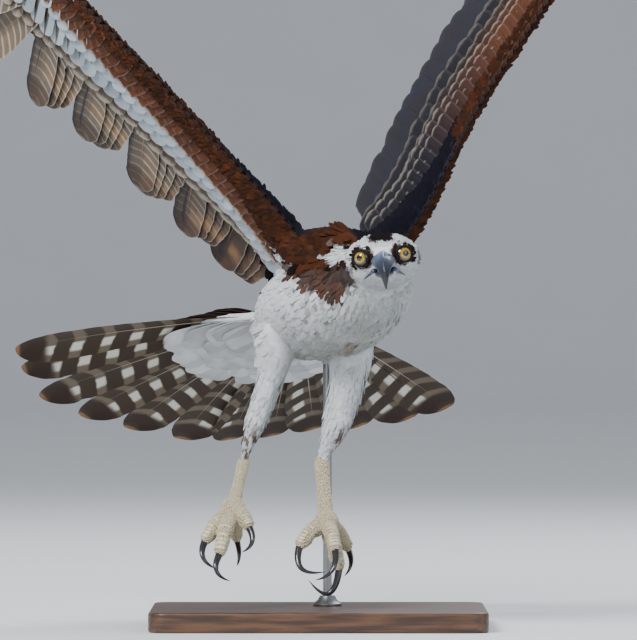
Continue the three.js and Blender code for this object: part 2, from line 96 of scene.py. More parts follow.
def evenly(points, u):  # place at a share of the line's length, and its direction
    fine = spline(points, np.linspace(0, 1, 1600))
    length = np.concatenate([[0], np.cumsum(np.linalg.norm(np.diff(fine, axis=0), axis=1))])

    def at(share):
        return np.stack([np.interp(share * length[-1], length, fine[:, k]) for k in range(3)], -1)

    u = np.atleast_1d(u)
    return at(u), unit(at(np.clip(u + nearby, 0, 1)) - at(np.clip(u - nearby, 0, 1)))


def tubeFaces(rings, around):
    r, k = np.meshgrid(np.arange(rings - 1), np.arange(around), indexing="ij")
    a = (r * around + k).ravel()
    b = (r * around + (k + 1) % around).ravel()
    one = np.stack([a, b, b + around], 1)
    two = np.stack([a, b + around, a + around], 1)
    end = (rings - 1) * around
    fan = np.arange(1, around - 1)
    first = np.stack([0 * fan, fan + 1, fan], 1)
    last = np.stack([0 * fan + end, end + fan, end + fan + 1], 1)
    return np.vstack([one, two, first, last])


def paint(mesh, key, colour):
    full = np.ones((len(colour), 4), np.float32)
    full[:, :3] = colour
    mesh.color_attributes.new(key, "FLOAT_COLOR", "POINT").data.foreach_set("color", full.ravel())


def readAll(items, key, kind=np.float32):  # a row of three for each item of a mesh
    rows = np.empty(len(items) * 3, kind)
    items.foreach_get(key, rows)
    return rows.reshape(-1, 3)


def makeMesh(name, verts, faces, values=None, uvs=None):
    mesh = bpy.data.meshes.new(name)
    mesh.vertices.add(len(verts))
    mesh.vertices.foreach_set("co", np.asarray(verts, np.float32).ravel())
    mesh.loops.add(len(faces) * 3)
    mesh.loops.foreach_set("vertex_index", np.asarray(faces, np.int32).ravel())
    mesh.polygons.add(len(faces))
    mesh.polygons.foreach_set("loop_start", np.arange(0, len(faces) * 3, 3, dtype=np.int32))
    mesh.update(calc_edges=True)
    for key, value in (values or {}).items():
        if np.ndim(value) == 1:
            layer = mesh.attributes.new(key, "FLOAT", "POINT")
            layer.data.foreach_set("value", np.asarray(value, np.float32))
        else:
            paint(mesh, key, value)
    for key, value in (uvs or {}).items():
        layer = mesh.uv_layers.new(name=key)
        layer.data.foreach_set("uv", np.asarray(value, np.float32)[np.asarray(faces).ravel()].ravel())
    mesh.shade_smooth()
    return mesh


def makeObject(name, mesh, material=None):
    piece = bpy.data.objects.new(name, mesh)
    bpy.context.scene.collection.objects.link(piece)
    if material:
        mesh.materials.clear()
        mesh.materials.append(material)
    return piece


def sharpRimmed(piece):  # smooth over each face, sharp at its rims
    piece.data.set_sharp_from_angle(angle=math.radians(38))
    return piece


def finished(piece, nodes=()):
    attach(piece, "root")
    if nodes:
        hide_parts(*nodes)
    return piece


def facesOut(verts, faces):  # turned round where the shape is inside out
    a, b, c = (verts[faces[:, k]] for k in range(3))
    return faces if np.einsum("ij,ij->", a, np.cross(b, c)) > 0 else faces[:, ::-1]


def joined(name, forms, material, values=None):  # closed forms of points in mm and faces, as one piece
    verts, faces, base = [], [], 0
    for points, web in forms:
        flat = points.reshape(-1, 3) * mm
        faces.append(facesOut(flat - flat.mean(0), web) + base)
        verts.append(flat)
        base += len(flat)
    return makeObject(name, makeMesh(name, np.concatenate(verts), np.concatenate(faces), values), material)


def circle(count):
    return np.linspace(0, 2 * np.pi, count, endpoint=False)


def ringed(at, across, rise, angle, wide, tall):  # a ring round each place on a line
    return (at[:, None] + across[:, None] * (np.cos(angle) * wide)[..., None]
            + rise[:, None] * (np.sin(angle) * tall)[..., None])


# Sizes of the body, as in the solids

trunk = {
    "at": [(-36, 114, 261), (-28, 86, 269), (-14, 46, 278), (3, 2, 286), (21, -40, 293), (36, -76, 300),
           (47, -103, 309), (54, -126, 321)],
    "half": [(16, 10, 0), (33, 26, 0), (49, 43, 0), (57, 51, 0), (58, 52, 0), (51, 47, 0), (42, 40, 0),
             (34, 30, 0)],
    "coat": 5.0,
}
head = {"at": np.array([56, -138, 328.0]), "roll": -0.1, "half": (35, 40, 26), "coat": 3.0}
legs = {
    "right": {
        "at": [(-34, 6, 266), (-42, 5, 226), (-56, 2, 184), (-65, 2, 157), (-67.5, 2, 146)],
        "half": [(25, 30, 0), (15, 19, 0), (12, 13, 0), (7.2, 7.6, 0), (6.4, 7, 0)],
    },
    "left": {
        "at": [(28, 0, 266), (26, -2, 222), (16, -6, 182), (6, -9, 157), (3, -10, 146)],
        "half": [(27, 32, 0), (19, 21, 0), (15, 15, 0), (9, 9, 0), (7.6, 8, 0)],
    },
}
wings = {
    "right": {
        "lead": [(2, -58, 326), (-40, -70, 378), (-124, -78, 470), (-205, -82, 556), (-272, -52, 640),
                 (-372, 18, 770), (-488, 104, 918)],
        "chord": np.array([(-0.36, 0.90, -0.24), (-0.46, 0.80, -0.36), (-0.62, 0.62, -0.46)]),
        "sign": 1,
    },
    "left": {
        "lead": [(56, -52, 322), (95, -58, 372), (142, -66, 462), (206, -68, 560), (264, -36, 650),
                 (350, 34, 800), (452, 116, 966)],
        "chord": np.array([(-0.38, 0.91, 0.14), (-0.36, 0.91, 0.18), (-0.20, 0.90, -0.10)]),
        "sign": -1,
    },
}
wristU, handU = 0.41, 0.56
wingChord = ((0, 0.2, 0.41, 0.56, 0.75, 0.9, 1), (150, 158, 160, 168, 118, 62, 6))
fleshDepth = ((0, 0.08, 0.2, 0.41, 0.58), (84, 66, 54, 46, 20))
fleshThick = ((0, 0.06, 0.14, 0.41, 0.58), (36, 26, 17, 13, 5))
fleshOutline = ((0, 0.12, 0.42, 1), (0, 0.5, 0.44, 0.1))
tail = {
    "point": np.array([-16, 76, 283.0]),
    "axis": unit(np.array([-0.328, 0.824, -0.462])),
    "side": unit(np.array([-0.92, -0.364, 0.005])),
    "angles": [75, 66, 51, 36.5, 22.5, 8, -3.5, -13, -22, -32, -41.5, -49],
    "lengths": [262, 258, 258, 250, 246, 252, 252, 250, 248, 262, 276, 282],
    "middle": 4,
    "width": 47,
}
tail["top"] = unit(np.cross(tail["axis"], tail["side"]))
mantle = {"at": np.array([12, -50, 334.0]), "half": np.array([49, 28, 23.0])}  # feathers over the shoulders


def ovalRings(stations, shrink, rings, around, across=None):
    t = np.linspace(0, 1, rings)
    at = spline(stations["at"], t)
    after, before = (spline(stations["at"], np.clip(t + shift, 0, 1)) for shift in (nearby, -nearby))
    ahead = unit(after - before)
    half = spline(stations["half"], t, False)
    side = np.cross(ahead, up) if across is None else np.broadcast_to(np.array(across, float), ahead.shape)
    side = unit(side - ahead * np.sum(side * ahead, 1, keepdims=True))
    rise = unit(np.cross(side, ahead))
    wide = np.maximum(half[:, :1] - shrink, 0.5)
    tall = np.maximum(half[:, 1:2] - shrink, 0.5)
    return ringed(at, side, -rise, circle(around), wide, tall)


def wingPlace(name, u):
    wing = wings[name]
    u = np.atleast_1d(u).astype(float)
    at, out = evenly(wing["lead"], u)
    root, wrist, tip = wing["chord"]
    inner = np.clip(u / wristU, 0, 1)[:, None]
    outer = np.clip((u - wristU) / (1 - wristU), 0, 1)[:, None]
    back = np.where(u[:, None] < wristU, root + (wrist - root) * inner, wrist + (tip - wrist) * outer)
    back = unit(back - out * np.sum(back * out, 1, keepdims=True))
    return at, out, back, np.cross(back, out) * wing["sign"]


def wingSpot(name, u, back, rise):
    at, _, away, dorsal = wingPlace(name, u)
    return at + away * np.atleast_1d(back)[:, None] + dorsal * np.atleast_1d(rise)[:, None]


def fleshHeight(u, share):  # half thickness of the arm at a share of its depth
    return np.interp(share, *fleshOutline) * np.interp(u, *fleshThick)


def headTurn():
    c, s = math.cos(head["roll"]), math.sin(head["roll"])
    return np.array([[c, 0, s], [0, 1, 0], [-s, 0, c]])


def headPlace(local):
    return local @ headTurn().T + head["at"]


def headLocal(world):
    return (world - head["at"]) @ headTurn()


def skullPoints(d, shrink):
    hx, hy, hz = head["half"]
    front = np.maximum(0, -d[:, 1])
    brow = np.exp(-((d[:, 2] - 0.42) ** 2) / 0.03 - ((np.abs(d[:, 0]) - 0.5) ** 2) / 0.05) * front
    cheek = np.exp(-((d[:, 2] + 0.35) ** 2) / 0.1) * front
    flat = np.where(d[:, 2] > 0, 0.98, 1.12)
    return np.stack([
        d[:, 0] * (hx * (1 - 0.2 * front ** 2) + brow * 2.5 + cheek * 1.5 - shrink),
        d[:, 1] * (hy + brow * 3 - shrink),
        d[:, 2] * (hz * flat + brow * 2 - shrink),
    ], 1)


# Skin: one surface under all the plumage

def closedRings(name, rings):
    count, around = rings.shape[:2]
    verts = rings.reshape(-1, 3) * mm
    return makeObject(name, makeMesh(name, verts, facesOut(verts, tubeFaces(count, around))))


def ballWays(rings, around, gap):  # directions all round, in rings from pole to pole
    polar, turn = np.meshgrid(np.linspace(gap, np.pi - gap, rings), circle(around), indexing="ij")
    return np.stack([np.sin(polar) * np.cos(turn), np.cos(polar), np.sin(polar) * np.sin(turn)], -1)


skins = {"body": (0.0024, 10), "legs": (0.0009, 5)}  # voxel in metres and rounds of smoothing


def makeSkinParts():
    parts = [closedRings("trunkForm", ovalRings(trunk, trunk["coat"], 60, 48))]
    skull = skullPoints(ballWays(40, 48, 0.02).reshape(-1, 3), head["coat"])
    parts.append(closedRings("headForm", headPlace(skull).reshape(40, 48, 3)))
    for leg in legs.values():
        parts.append(closedRings("thighForm", ovalRings(leg, 2.6, 40, 32, (1, 0, 0))))
    for side in wings:
        u = np.linspace(0, handU + 0.02, 70)
        shares = np.array([0, 0.05, 0.12, 0.25, 0.42, 0.7, 1])
        shares = np.concatenate([shares, shares[:0:-1]])
        sign = np.array([0] + [1] * 6 + [-1] * 6)
        rings = np.stack([
            wingSpot(side, u, 1.5 + share * (np.interp(u, *fleshDepth) - 3),
                     s * np.maximum(fleshHeight(u, share) - 1.6, 0.4))
            for share, s in zip(shares, sign)], 1)
        parts.append(closedRings("armForm", rings))
    parts.append(closedRings("rumpForm", tailRootRings()))
    parts.append(closedRings("mantleForm", mantle["at"] + ballWays(24, 28, 0.03) * mantle["half"]))
    return parts


def tailWay(angle):
    a = np.radians(np.atleast_1d(angle))[:, None]
    return tail["axis"] * np.cos(a) + tail["side"] * np.sin(a)


def tailSpot(angle, radius, rise):
    out, high = np.atleast_1d(radius)[:, None], np.atleast_1d(rise)[:, None]
    return tail["point"] + tailWay(angle) * out + tail["top"] * high


def tailRootRings():
    t = np.linspace(0, 1, 40)
    angle = tail["angles"][0] + 4 + (tail["angles"][-1] - 8 - tail["angles"][0]) * t
    centre = 1 - np.abs(t - 0.58)
    outline = [(30 + 0 * t, 5 + 0 * t), (60 + 18 * centre, 3 + 3 * centre), (82 + 26 * centre, 0.5 + 0 * t)]
    outline += [(r, -h) for r, h in outline[::-1]]
    return np.stack([tailSpot(angle, r, h) for r, h in outline], 1)


def oneSkin(parts, voxel, rounds):  # one closed surface round all the parts, with its joins softened
    picked = {"active_object": parts[0], "selected_editable_objects": parts, "selected_objects": parts}
    with bpy.context.temp_override(**picked):
        bpy.ops.object.join()
    form = parts[0]
    remesh = form.modifiers.new("oneSkin", "REMESH")
    remesh.mode, remesh.voxel_size = "VOXEL", voxel
    smooth = form.modifiers.new("soften", "SMOOTH")
    smooth.factor, smooth.iterations = 0.5, rounds
    bpy.context.view_layer.update()
    mesh = bpy.data.meshes.new_from_object(form.evaluated_get(bpy.context.evaluated_depsgraph_get()))
    bpy.data.objects.remove(form)
    mesh.shade_smooth()
    return mesh


# Markings and painted shade, worked out from the place on the bird

def blend(a, b, share):
    return a + (b - a) * share[:, None]


def near(value, low, high, soft):  # 1 between low and high, fading over soft
    return np.clip((value - low) / soft + 0.5, 0, 1) * np.clip((high - value) / soft + 0.5, 0, 1)


def blendTo(first, last, share):
    return blend(np.array(colours[first])[None], np.array(colours[last])[None], share)


def waves(pos, size):  # smooth uneven pattern, the same each run
    q = pos / size
    return (np.sin(q[:, 0] * 1.7 + np.sin(q[:, 1] * 1.3)) + np.sin(q[:, 1] * 2.1 + np.sin(q[:, 2] * 1.9) + 1)
            + np.sin(q[:, 2] * 1.6 + np.sin(q[:, 0] * 2.3) + 2)) / 3


trunkLine = spline(trunk["at"], np.linspace(0, 1, 200))
trunkHalf = spline(trunk["half"], np.linspace(0, 1, 200), False)
trunkAhead = unit(np.gradient(trunkLine, axis=0))


def nearest(pos, line):  # which point of the line is nearest, worked out in batches
    parts = np.array_split(pos, len(pos) // 20000 + 1)
    return np.concatenate([np.argmin(np.sum((part[:, None] - line[None]) ** 2, 2), 1) for part in parts])


def trunkFrame(pos):  # share along the trunk, and height and side from its middle line
    i = nearest(pos, trunkLine)
    side = unit(np.cross(trunkAhead[i], up))
    rise = unit(np.cross(side, trunkAhead[i]))
    off = pos - trunkLine[i]
    high, wide = np.sum(off * rise, 1) / trunkHalf[i, 1], np.sum(off * side, 1) / trunkHalf[i, 0]
    return i / (len(trunkLine) - 1), high, wide, trunkAhead[i]


def wingFrame(name, pos):  # share along the wing, distance behind its front line and height over it
    u = np.linspace(0.0, 0.6, 90)
    at, _, back, dorsal = wingPlace(name, u)
    i = nearest(pos, at)
    return u[i], np.sum((pos - at[i]) * back[i], 1), np.sum((pos - at[i]) * dorsal[i], 1)


def regionOf(pos):  # 0 trunk, 1 head, 2 and 3 thighs, 4 and 5 wings, 6 rump
    region = np.zeros(len(pos), int)
    local = headLocal(pos)
    region[(np.linalg.norm(local / np.array([37, 42, 29]), axis=1) < 1.06) & (local[:, 1] < 16)] = 1
    for k, leg in enumerate(legs.values()):
        line = spline(leg["at"], np.linspace(0, 1, 60))
        gap = np.linalg.norm(pos - line[nearest(pos, line)], axis=1)
        region[(gap < 30) & (pos[:, 2] < 238)] = 2 + k
    for k, name in enumerate(wings):
        at, _, back, dorsal = wingPlace(name, np.linspace(0.03, 0.6, 60))
        mid = at + back * 25
        gap = np.linalg.norm(pos - mid[nearest(pos, mid)], axis=1)
        outside = np.linalg.norm(pos - trunkLine[nearest(pos, trunkLine)], axis=1) > 47
        region[(gap < 48) & outside & (pos[:, 2] > 325) & (region != 1)] = 4 + k
    region[(pos[:, 1] > 88) & (region == 0)] = 6
    return region


markings = {
    "shoulderX": [-80, -64, -43, -28, -16, 8, 20, 28], "shoulderZ": [395, 368, 340, 329, 306, 296, 287, 296],
    "throatZ": [284, 300, 312, 326, 340], "throatX": [20, 26, 30, 26, 34],
    "spots": [(-28.5, 327, 4.8), (-24.5, 315, 5.2)], "line": [(-22.5, 333), (-15, 309)],
    "rump": [(-82, 280, 8, tone(150, 98, 44)), (-80, 264, 8, tone(58, 38, 24))],
    "temple": (21, 337, 9), "breast": [(30, 251, 8), (-50, 268, 3.5)],
}


def past(value, edge, soft):  # 0 up to the edge, rising to 1 over soft
    return np.clip((value - edge) / soft, 0, 1)


def spotted(pos, x, z, size, soft, squash=1.0, wave=0.0):  # a round mark as seen from the front
    return np.clip((size - np.hypot(pos[:, 0] - x, (pos[:, 2] - z) * squash) + wave) / soft, 0, 1)


def shoulderPatch(pos, low, ragged):  # brown from the right shoulder to the neck, with spots and a pale line
    stop = np.interp(pos[:, 2], markings["throatZ"], markings["throatX"])
    patch = past(pos[:, 2] - low + ragged, 0, 3) * past(stop - pos[:, 0] + ragged, 0, 3)
    for x, z, size in markings["spots"]:
        patch = np.maximum(patch, spotted(pos, x, z, size, 2))
    (x0, z0), (x1, z1) = markings["line"]
    run, climb = x1 - x0, z1 - z0
    t = np.clip(((pos[:, 0] - x0) * run + (pos[:, 2] - z0) * climb) / (run ** 2 + climb ** 2), 0, 1)
    gap = np.hypot(pos[:, 0] - x0 - t * run, pos[:, 2] - z0 - t * climb)
    return patch * past(gap, 1.6, 1.2)


def trunkColour(pos, normal, region, low, front):  # white below, dark above, with the marks
    names = ("white", "shade", "brown", "dark", "chestnut")
    white, shade, brown, dark, chestnut = (np.array(colours[k]) for k in names)
    share, rise, _, _ = trunkFrame(pos)
    rough = waves(pos, 9.0)
    ragged = 3.2 * waves(pos, 2.6) + 2.5 * rough
    c = np.tile(white, (len(pos), 1))
    # painted shade: greyer where the body faces down, which also greys the thighs
    c = blend(c, shade, np.clip(0.12 - 0.6 * normal[:, 2] + 0.16 * rough, 0, 0.75))
    back = past(rise + 0.13 * rough, 0.38, 0.12)
    back = np.where(front & (pos[:, 0] < 30), back * past(pos[:, 2] - low + ragged, 0, 3), back)
    c = blend(c, dark, back * ((region == 0) | (region == 6)))
    warm = blend(np.tile(brown, (len(pos), 1)), chestnut, np.clip(0.5 + 0.6 * waves(pos, 6.0), 0, 1))
    shoulder = front & ((region == 0) | (region == 4))
    c = blend(c, warm, 0.96 * shoulderPatch(pos, low, ragged) * shoulder)
    for x, z, size, mark in markings["rump"]:
        spot = spotted(pos, x, z, size, 3, 0.7, 2 * waves(pos, 3))
        c = blend(c, np.array(mark), spot * (region == 6) * (normal[:, 1] < 0.4))
    flecks = past(waves(pos, 3.1), 0.52, 0.1) * near(share, 0.62, 0.9, 0.08) * near(rise, -0.75, 0.3, 0.2)
    c = blend(c, brown, 0.45 * flecks * (region == 0))
    for x, z, size in markings["breast"]:
        spot = spotted(pos, x, z, size, 4, 1.0, 2 * waves(pos, 3))
        c = blend(c, np.array(tone(122, 84, 50)), 0.5 * spot * (region == 0) * (normal[:, 1] < 0))
    thigh = (region == 2) | (region == 3)
    spots = past(waves(pos, 2.6), -0.1, 0.2) * near(pos[:, 2], 136, 184, 14)
    outer = np.where(region == 2, 1.0, past(pos[:, 0], np.interp(pos[:, 2], [146, 182], [6, 18]), 3))
    return blend(c, np.array(tone(92, 62, 38)), 0.85 * spots * outer * thigh)


def faceColour(pos):  # white, with a dark stripe back from each eye, a crown patch and a dark eye surround
    white, shade, brown, dark = (np.array(colours[k]) for k in ("white", "shade", "brown", "dark"))
    q = headLocal(pos)
    rough, streak = waves(pos, 9.0), waves(pos, 2.2)
    stripe = near(q[:, 2] + 2.2 * streak, -6.5, 8.5, 3) * past(np.abs(q[:, 0]), 28.5, 2.5)
    crown = near(q[:, 0] + 2 * streak, -9.5, 9.5, 3) * past(q[:, 2] + streak, 13, 2)
    crown = np.maximum(crown, past(q[:, 1] + 3 * streak, -4, 5) * past(q[:, 2], 2, 6))
    eyeGap = np.hypot(np.abs(q[:, 0]) - eyes["at"][0], q[:, 2] - eyes["at"][2])
    ring = np.clip((10.6 + 1.2 * streak - eyeGap) / 1.2, 0, 1) * (q[:, 1] < -12)
    nape = past(q[:, 1] + 4 * rough, 6, 8) * past(q[:, 2], -6, 8)
    cheek = past(-q[:, 0] + 2 * streak, 24, 3) * past(-q[:, 2], 2, 4)
    side = past(q[:, 0] + 2 * streak, 28, 3) * past(-q[:, 2], -2, 4)
    headDark = np.clip(np.max([stripe, crown, nape, ring, 0.95 * cheek, 0.9 * side], axis=0), 0, 1)
    # painted shade: greyer towards the chin, under the head
    chinShade = np.clip(0.1 - 0.022 * (q[:, 2] + 4) + 0.1 * streak, 0, 0.6)
    face = blend(blend(np.tile(white, (len(pos), 1)), shade, chinShade), brown * 0.7, headDark)
    face = blend(face, dark, crown)
    rust = near(q[:, 0] + 2 * streak, -37, -28, 3) * near(q[:, 2], 6, 20, 3)
    return blend(face, np.array(tone(150, 98, 48)), 0.7 * rust * (streak > 0))


def armColour(pos, name, low):  # chestnut in front, pale below, and dark over the inner arm
    white, brown, chestnut = (np.array(colours[k]) for k in ("white", "brown", "chestnut"))
    rough = waves(pos, 9.0)
    along, behind, height = wingFrame(name, pos)
    rust = blend(np.tile(brown, (len(pos), 1)), chestnut, np.clip(0.25 + 0.6 * waves(pos, 3.0), 0, 1))
    inner = np.clip((0.24 - along + 0.04 * rough) / 0.05, 0, 1)
    scapular = inner * past(behind + 3 * rough, np.interp(along, [0.1, 0.22], [-8, 9]), 4)
    # dark with a painted bluish sheen over the top of the inner arm
    rust = blend(rust, np.array(colours["blueSheenNight"]), scapular * (height > 0))
    pale = blend(np.tile(np.array(colours["paleBlue"]), (len(pos), 1)), white, np.clip(0.4 + rough, 0, 1))
    beyond = np.where((along < 0.13) & (name == "right"), low - pos[:, 2], behind - 26) + 6 * waves(pos, 2.4)
    return blend(rust, pale, past(beyond, 0, 3) * (height < 2))


def bodyColour(pos, normal, region):
    front = (normal[:, 1] < 0.35) & (pos[:, 1] < 20)
    low = np.interp(pos[:, 0], markings["shoulderX"], markings["shoulderZ"])
    c = trunkColour(pos, normal, region, low, front)
    c = np.where((region == 1)[:, None], faceColour(pos), c)
    share, rise, _, _ = trunkFrame(pos)
    nape = past(rise + 0.2 * waves(pos, 9.0), 0.2, 0.2) * (region == 0) * (share > 0.84)
    c = blend(c, np.array(colours["dark"]), nape)
    x, z, size = markings["temple"]
    temple = spotted(pos, x, z, size, 2, 0.8, 1.6 * waves(pos, 2.2))
    c = blend(c, np.array(colours["white"]), temple * front * ((region == 0) | (region == 1)))
    for k, name in enumerate(wings):
        c = np.where((region == 4 + k)[:, None], armColour(pos, name, low), c)
    return np.clip(c, 0.002, 1)


# Small body feathers: short closed blades set on the skin along the lie of the coat

feather = {  # share of the length, half width, height of the middle
    "along": np.array([0, 0.3, 0.62, 0.86, 1.0]),
    "half": np.array([0.2, 0.46, 0.5, 0.38, 0.12]),
    "crown": np.array([0.02, 0.06, 0.05, 0.02, -0.03]),
}


def featherTemplate():
    x, w, z = feather["along"], feather["half"], feather["crown"]
    rings = np.stack([np.stack([x, w, z - 0.07], 1), np.stack([x, 0 * x, z], 1),
                      np.stack([x, -w, z - 0.07], 1), np.stack([x, 0 * x, z - 0.045], 1)], 1)
    verts = rings.reshape(-1, 3)
    return verts, facesOut(verts, tubeFaces(len(x), 4))


def spread(points, spacing):  # keeps points no nearer than their own spacing
    tree = kdtree.KDTree(len(points))
    for i, point in enumerate(points):
        tree.insert(point, i)
    tree.balance()
    alive = np.ones(len(points), bool)
    for i, point in enumerate(points):
        if alive[i]:
            for _, j, _ in tree.find_range(point, spacing[i]):
                if j > i:
                    alive[j] = False
    return alive


coat = [  # for each region, width against length, spacing against length, lift in degrees
    (0.4, 0.2, 3), (0.38, 0.2, 5), (0.38, 0.21, 4.5), (0.38, 0.21, 4.5), (0.46, 0.25, 4), (0.46, 0.25, 4),
    (0.42, 0.22, 3),
]


def coatLength(pos, region):
    q = headLocal(pos)
    face = np.linalg.norm(q - np.array([0, -30, 0]), axis=1)
    length = np.interp(trunkFrame(pos)[0], [0.1, 0.5, 0.8, 0.95], [17, 14, 12, 11])
    length = np.minimum(length, np.interp(face, [30, 55, 95, 140], [8.0, 10.0, 11.5, 17]))
    length = np.where(region == 1, np.interp(face, [12, 30, 55], [4.0, 7.5, 10.0]), length)
    length = np.where(region >= 4, np.where(region == 6, 14, 8), length)
    share, rise, _, _ = trunkFrame(pos)
    length = np.where((region == 0) & (rise > 0.6), length + 4 * near(share, 0.5, 0.86, 0.12), length)
    thigh = (region == 2) | (region == 3)
    return np.where(thigh, np.interp(pos[:, 2], [146, 165, 200, 240], [7.0, 8.0, 11, 14]), length)


def coatLie(pos, normal, region):
    ahead = trunkFrame(pos)[3]
    facing = np.clip(np.sum(normal * ahead, 1), 0, 1)[:, None]
    lie = -ahead + np.array([0, 0, -0.12]) + np.array([0, 0, -1.6]) * facing
    lie = np.where((region == 6)[:, None], tail["axis"], lie)
    q = headLocal(pos)
    onHead = headPlace(unit(q - np.array([0, -58, -4.0]))) - head["at"]
    lie = np.where((region == 1)[:, None], onHead, lie)
    for k, side in enumerate(legs):
        down = unit(np.array(legs[side]["at"][-1], float) - np.array(legs[side]["at"][1], float))
        lie = np.where((region == 2 + k)[:, None], down, lie)
    for k, name in enumerate(wings):
        u = np.linspace(0.0, 0.6, 60)
        at, out, back, _ = wingPlace(name, u)
        i = nearest(pos, at + back * 20)
        lie = np.where((region == 4 + k)[:, None], back[i] + 0.35 * out[i], lie)
    return unit(lie - normal * np.sum(lie * normal, 1, keepdims=True))


def skinSamples(mesh, count):  # places all over the skin, closer where the feathers are small
    mesh.calc_loop_triangles()
    tri = readAll(mesh.loop_triangles, "vertices", np.int32)
    co = readAll(mesh.vertices, "co").astype(float) / mm
    no = readAll(mesh.vertices, "normal").astype(float)
    one, two, three = (co[tri[:, k]] for k in range(3))
    area = np.linalg.norm(np.cross(two - one, three - one), axis=1) / 2
    centre = co[tri].mean(1)
    region = regionOf(centre)
    length = coatLength(centre, region)
    gap = length * np.array([coat[r][1] for r in region])
    weight = area / gap ** 2
    pick = rng.choice(len(tri), count, p=weight / weight.sum())
    r1, r2 = rng.random(count) ** 0.5, rng.random(count)
    bary = np.stack([1 - r1, r1 * (1 - r2), r1 * r2], 1)[..., None]
    pos = (co[tri[pick]] * bary).sum(1)
    return pos, unit((no[tri[pick]] * bary).sum(1)), region[pick], length[pick], gap[pick]


tuft = 0.003  # how much of the bake map one small feather takes
coatSamples = 150000  # places tried, of which the ones that stand clear of each other get a feather


def bakePlace(pos, region):  # where a tuft sits on an unwrap of the skin: round and along each part
    y, rise, side, _ = trunkFrame(pos)
    x = np.arctan2(side, rise) / (2 * np.pi) + 0.5
    q = headLocal(pos)
    x = np.where(region == 1, np.arctan2(q[:, 0], q[:, 2]) / (2 * np.pi) + 0.5, x)
    y = np.where(region == 1, (q[:, 1] + 42) / 84, y)
    thigh = (region == 2) | (region == 3)
    x = np.where(thigh, np.arctan2(pos[:, 1], pos[:, 0] % 60 - 30) / (2 * np.pi) + 0.5, x)
    y = np.where(thigh, (pos[:, 2] - 140) / 110, y)
    wing = (region == 4) | (region == 5)
    x = np.where(wing, (pos[:, 1] + 130) / 200, x)
    y = np.where(wing, (pos[:, 2] - 300) / 380, y)
    cell = np.stack([region % 3, region // 3], 1)
    return (cell + 0.04 + 0.92 * np.clip(np.stack([x, y], 1), 0, 1)) / 3


def feathered(pos, region):  # not round the eyes and bill, below the thighs or under the large feathers
    q = headLocal(pos)
    mirrored = np.stack([np.abs(q[:, 0]), q[:, 1], q[:, 2]], 1)
    bare = (np.linalg.norm(mirrored - eyes["at"], axis=1) < 10.4) & (q[:, 1] < -24)
    bare |= (q[:, 1] < -31) & (np.abs(q[:, 0]) < 10.5) & (q[:, 2] > -17.5) & (q[:, 2] < 8)
    bare |= pos[:, 2] <= 144
    bare |= (region == 6) & (np.linalg.norm(pos - tail["point"], axis=1) > 60)
    bare |= (pos[:, 0] < -58) & (pos[:, 1] > 30) & (pos[:, 2] < 300)
    for k, name in enumerate(wings):
        along, behind, _ = wingFrame(name, pos)
        bare |= (region == 4 + k) & (along > 0.11) & (behind > np.interp(along, [0.11, 0.6], [30, 18]))
    return ~bare


def makeCoat(mesh, materials):
    pos, normal, region, length, gap = skinSamples(mesh, coatSamples)
    keep = feathered(pos, region)
    pos, normal, region, length, gap = (v[keep] for v in (pos, normal, region, length, gap))
    alive = spread(pos, gap)
    pos, normal, region, length = (v[alive] for v in (pos, normal, region, length))
    lie = coatLie(pos, normal, region)
    lie = unit(lie + rng.normal(0, 0.07, lie.shape))
    share, rise, _, _ = trunkFrame(pos)
    raised = 7 * near(share, 0.5, 0.86, 0.1) * np.clip((rise - 0.6) / 0.2, 0, 1) * (region == 0)
    lift = np.radians(np.array([coat[r][2] for r in region]) + raised + rng.normal(0, 1.4, len(pos)))[:, None]
    x = unit(lie * np.cos(lift) + normal * np.sin(lift))
    y = unit(np.cross(normal, x))
    z = np.cross(x, y)
    size = length * rng.uniform(0.85, 1.15, len(pos))
    wide = size * np.array([coat[r][0] for r in region]) * rng.uniform(0.9, 1.1, len(pos))
    tint = bodyColour(pos, normal, region) * rng.uniform(0.92, 1.05, len(pos))[:, None]
    place = bakePlace(pos, region)
    shape, faces = featherTemplate()
    pieces = []
    local = np.stack([shape[:, 1] + 0.5, shape[:, 0]], 1)
    parts = {
        "head": region == 1,
        "breast": (region == 0) & (pos[:, 1] < -20),
        "belly": ((region == 0) & (pos[:, 1] >= -20)) | (region == 6),
        "thighs": (region == 2) | (region == 3),
        "arm_right": region == 4,
        "arm_left": region == 5,
    }
    for name, mask in parts.items():
        n = int(mask.sum())
        sx, sy = size[mask, None], wide[mask, None]
        verts = (pos[mask] - normal[mask] * 0.4)[:, None] + (
            x[mask][:, None] * (shape[:, 0] * sx)[..., None]
            + y[mask][:, None] * (shape[:, 1] * sy)[..., None]
            + z[mask][:, None] * (shape[:, 2] * sy * 0.8)[..., None])
        allFaces = (faces[None] + (np.arange(n) * len(shape))[:, None, None]).reshape(-1, 3)
        bake = place[mask][:, None] + (local - 0.5) * tuft
        made = makeMesh(f"coat_{name}", verts.reshape(-1, 3) * mm, allFaces,
                        {"tint": np.repeat(tint[mask], len(shape), axis=0)},
                        {"OFBake": bake.reshape(-1, 2), "own": np.tile(local, (n, 1))})
        pieces.append((name, sharpRimmed(makeObject(f"coat_{name}", made, materials["body"]))))
        print("coat", name, n, "feathers", len(allFaces), "triangles")
    return pieces


# Large feathers: a cambered web with its shaft, from the same places as in the solids

bladeShape = ((0, 0.22, 0.62, 0.88, 1), (0.2, 0.85, 1, 0.9, 0.72))
fingerShape = ((0, 0.22, 0.5, 0.66, 0.92, 1), (0.2, 0.9, 0.95, 0.6, 0.5, 0.4))
covertShape = ((0, 0.4, 0.84, 1), (0.35, 1, 0.95, 0.8))
tailShape = ((0, 0.3, 0.62, 0.92, 1), (0.2, 0.62, 0.92, 1.0, 0.95))


def vaneWidth(row, s):  # share of the full width along a feather, closing round its tip
    close = row.get("round", 0.87)
    end = (np.clip(s - close, 0, 1) / (1.001 - close)) ** 2
    return np.interp(s, *row["shape"]) * np.sqrt(np.clip(1 - end, 0.002, 1))


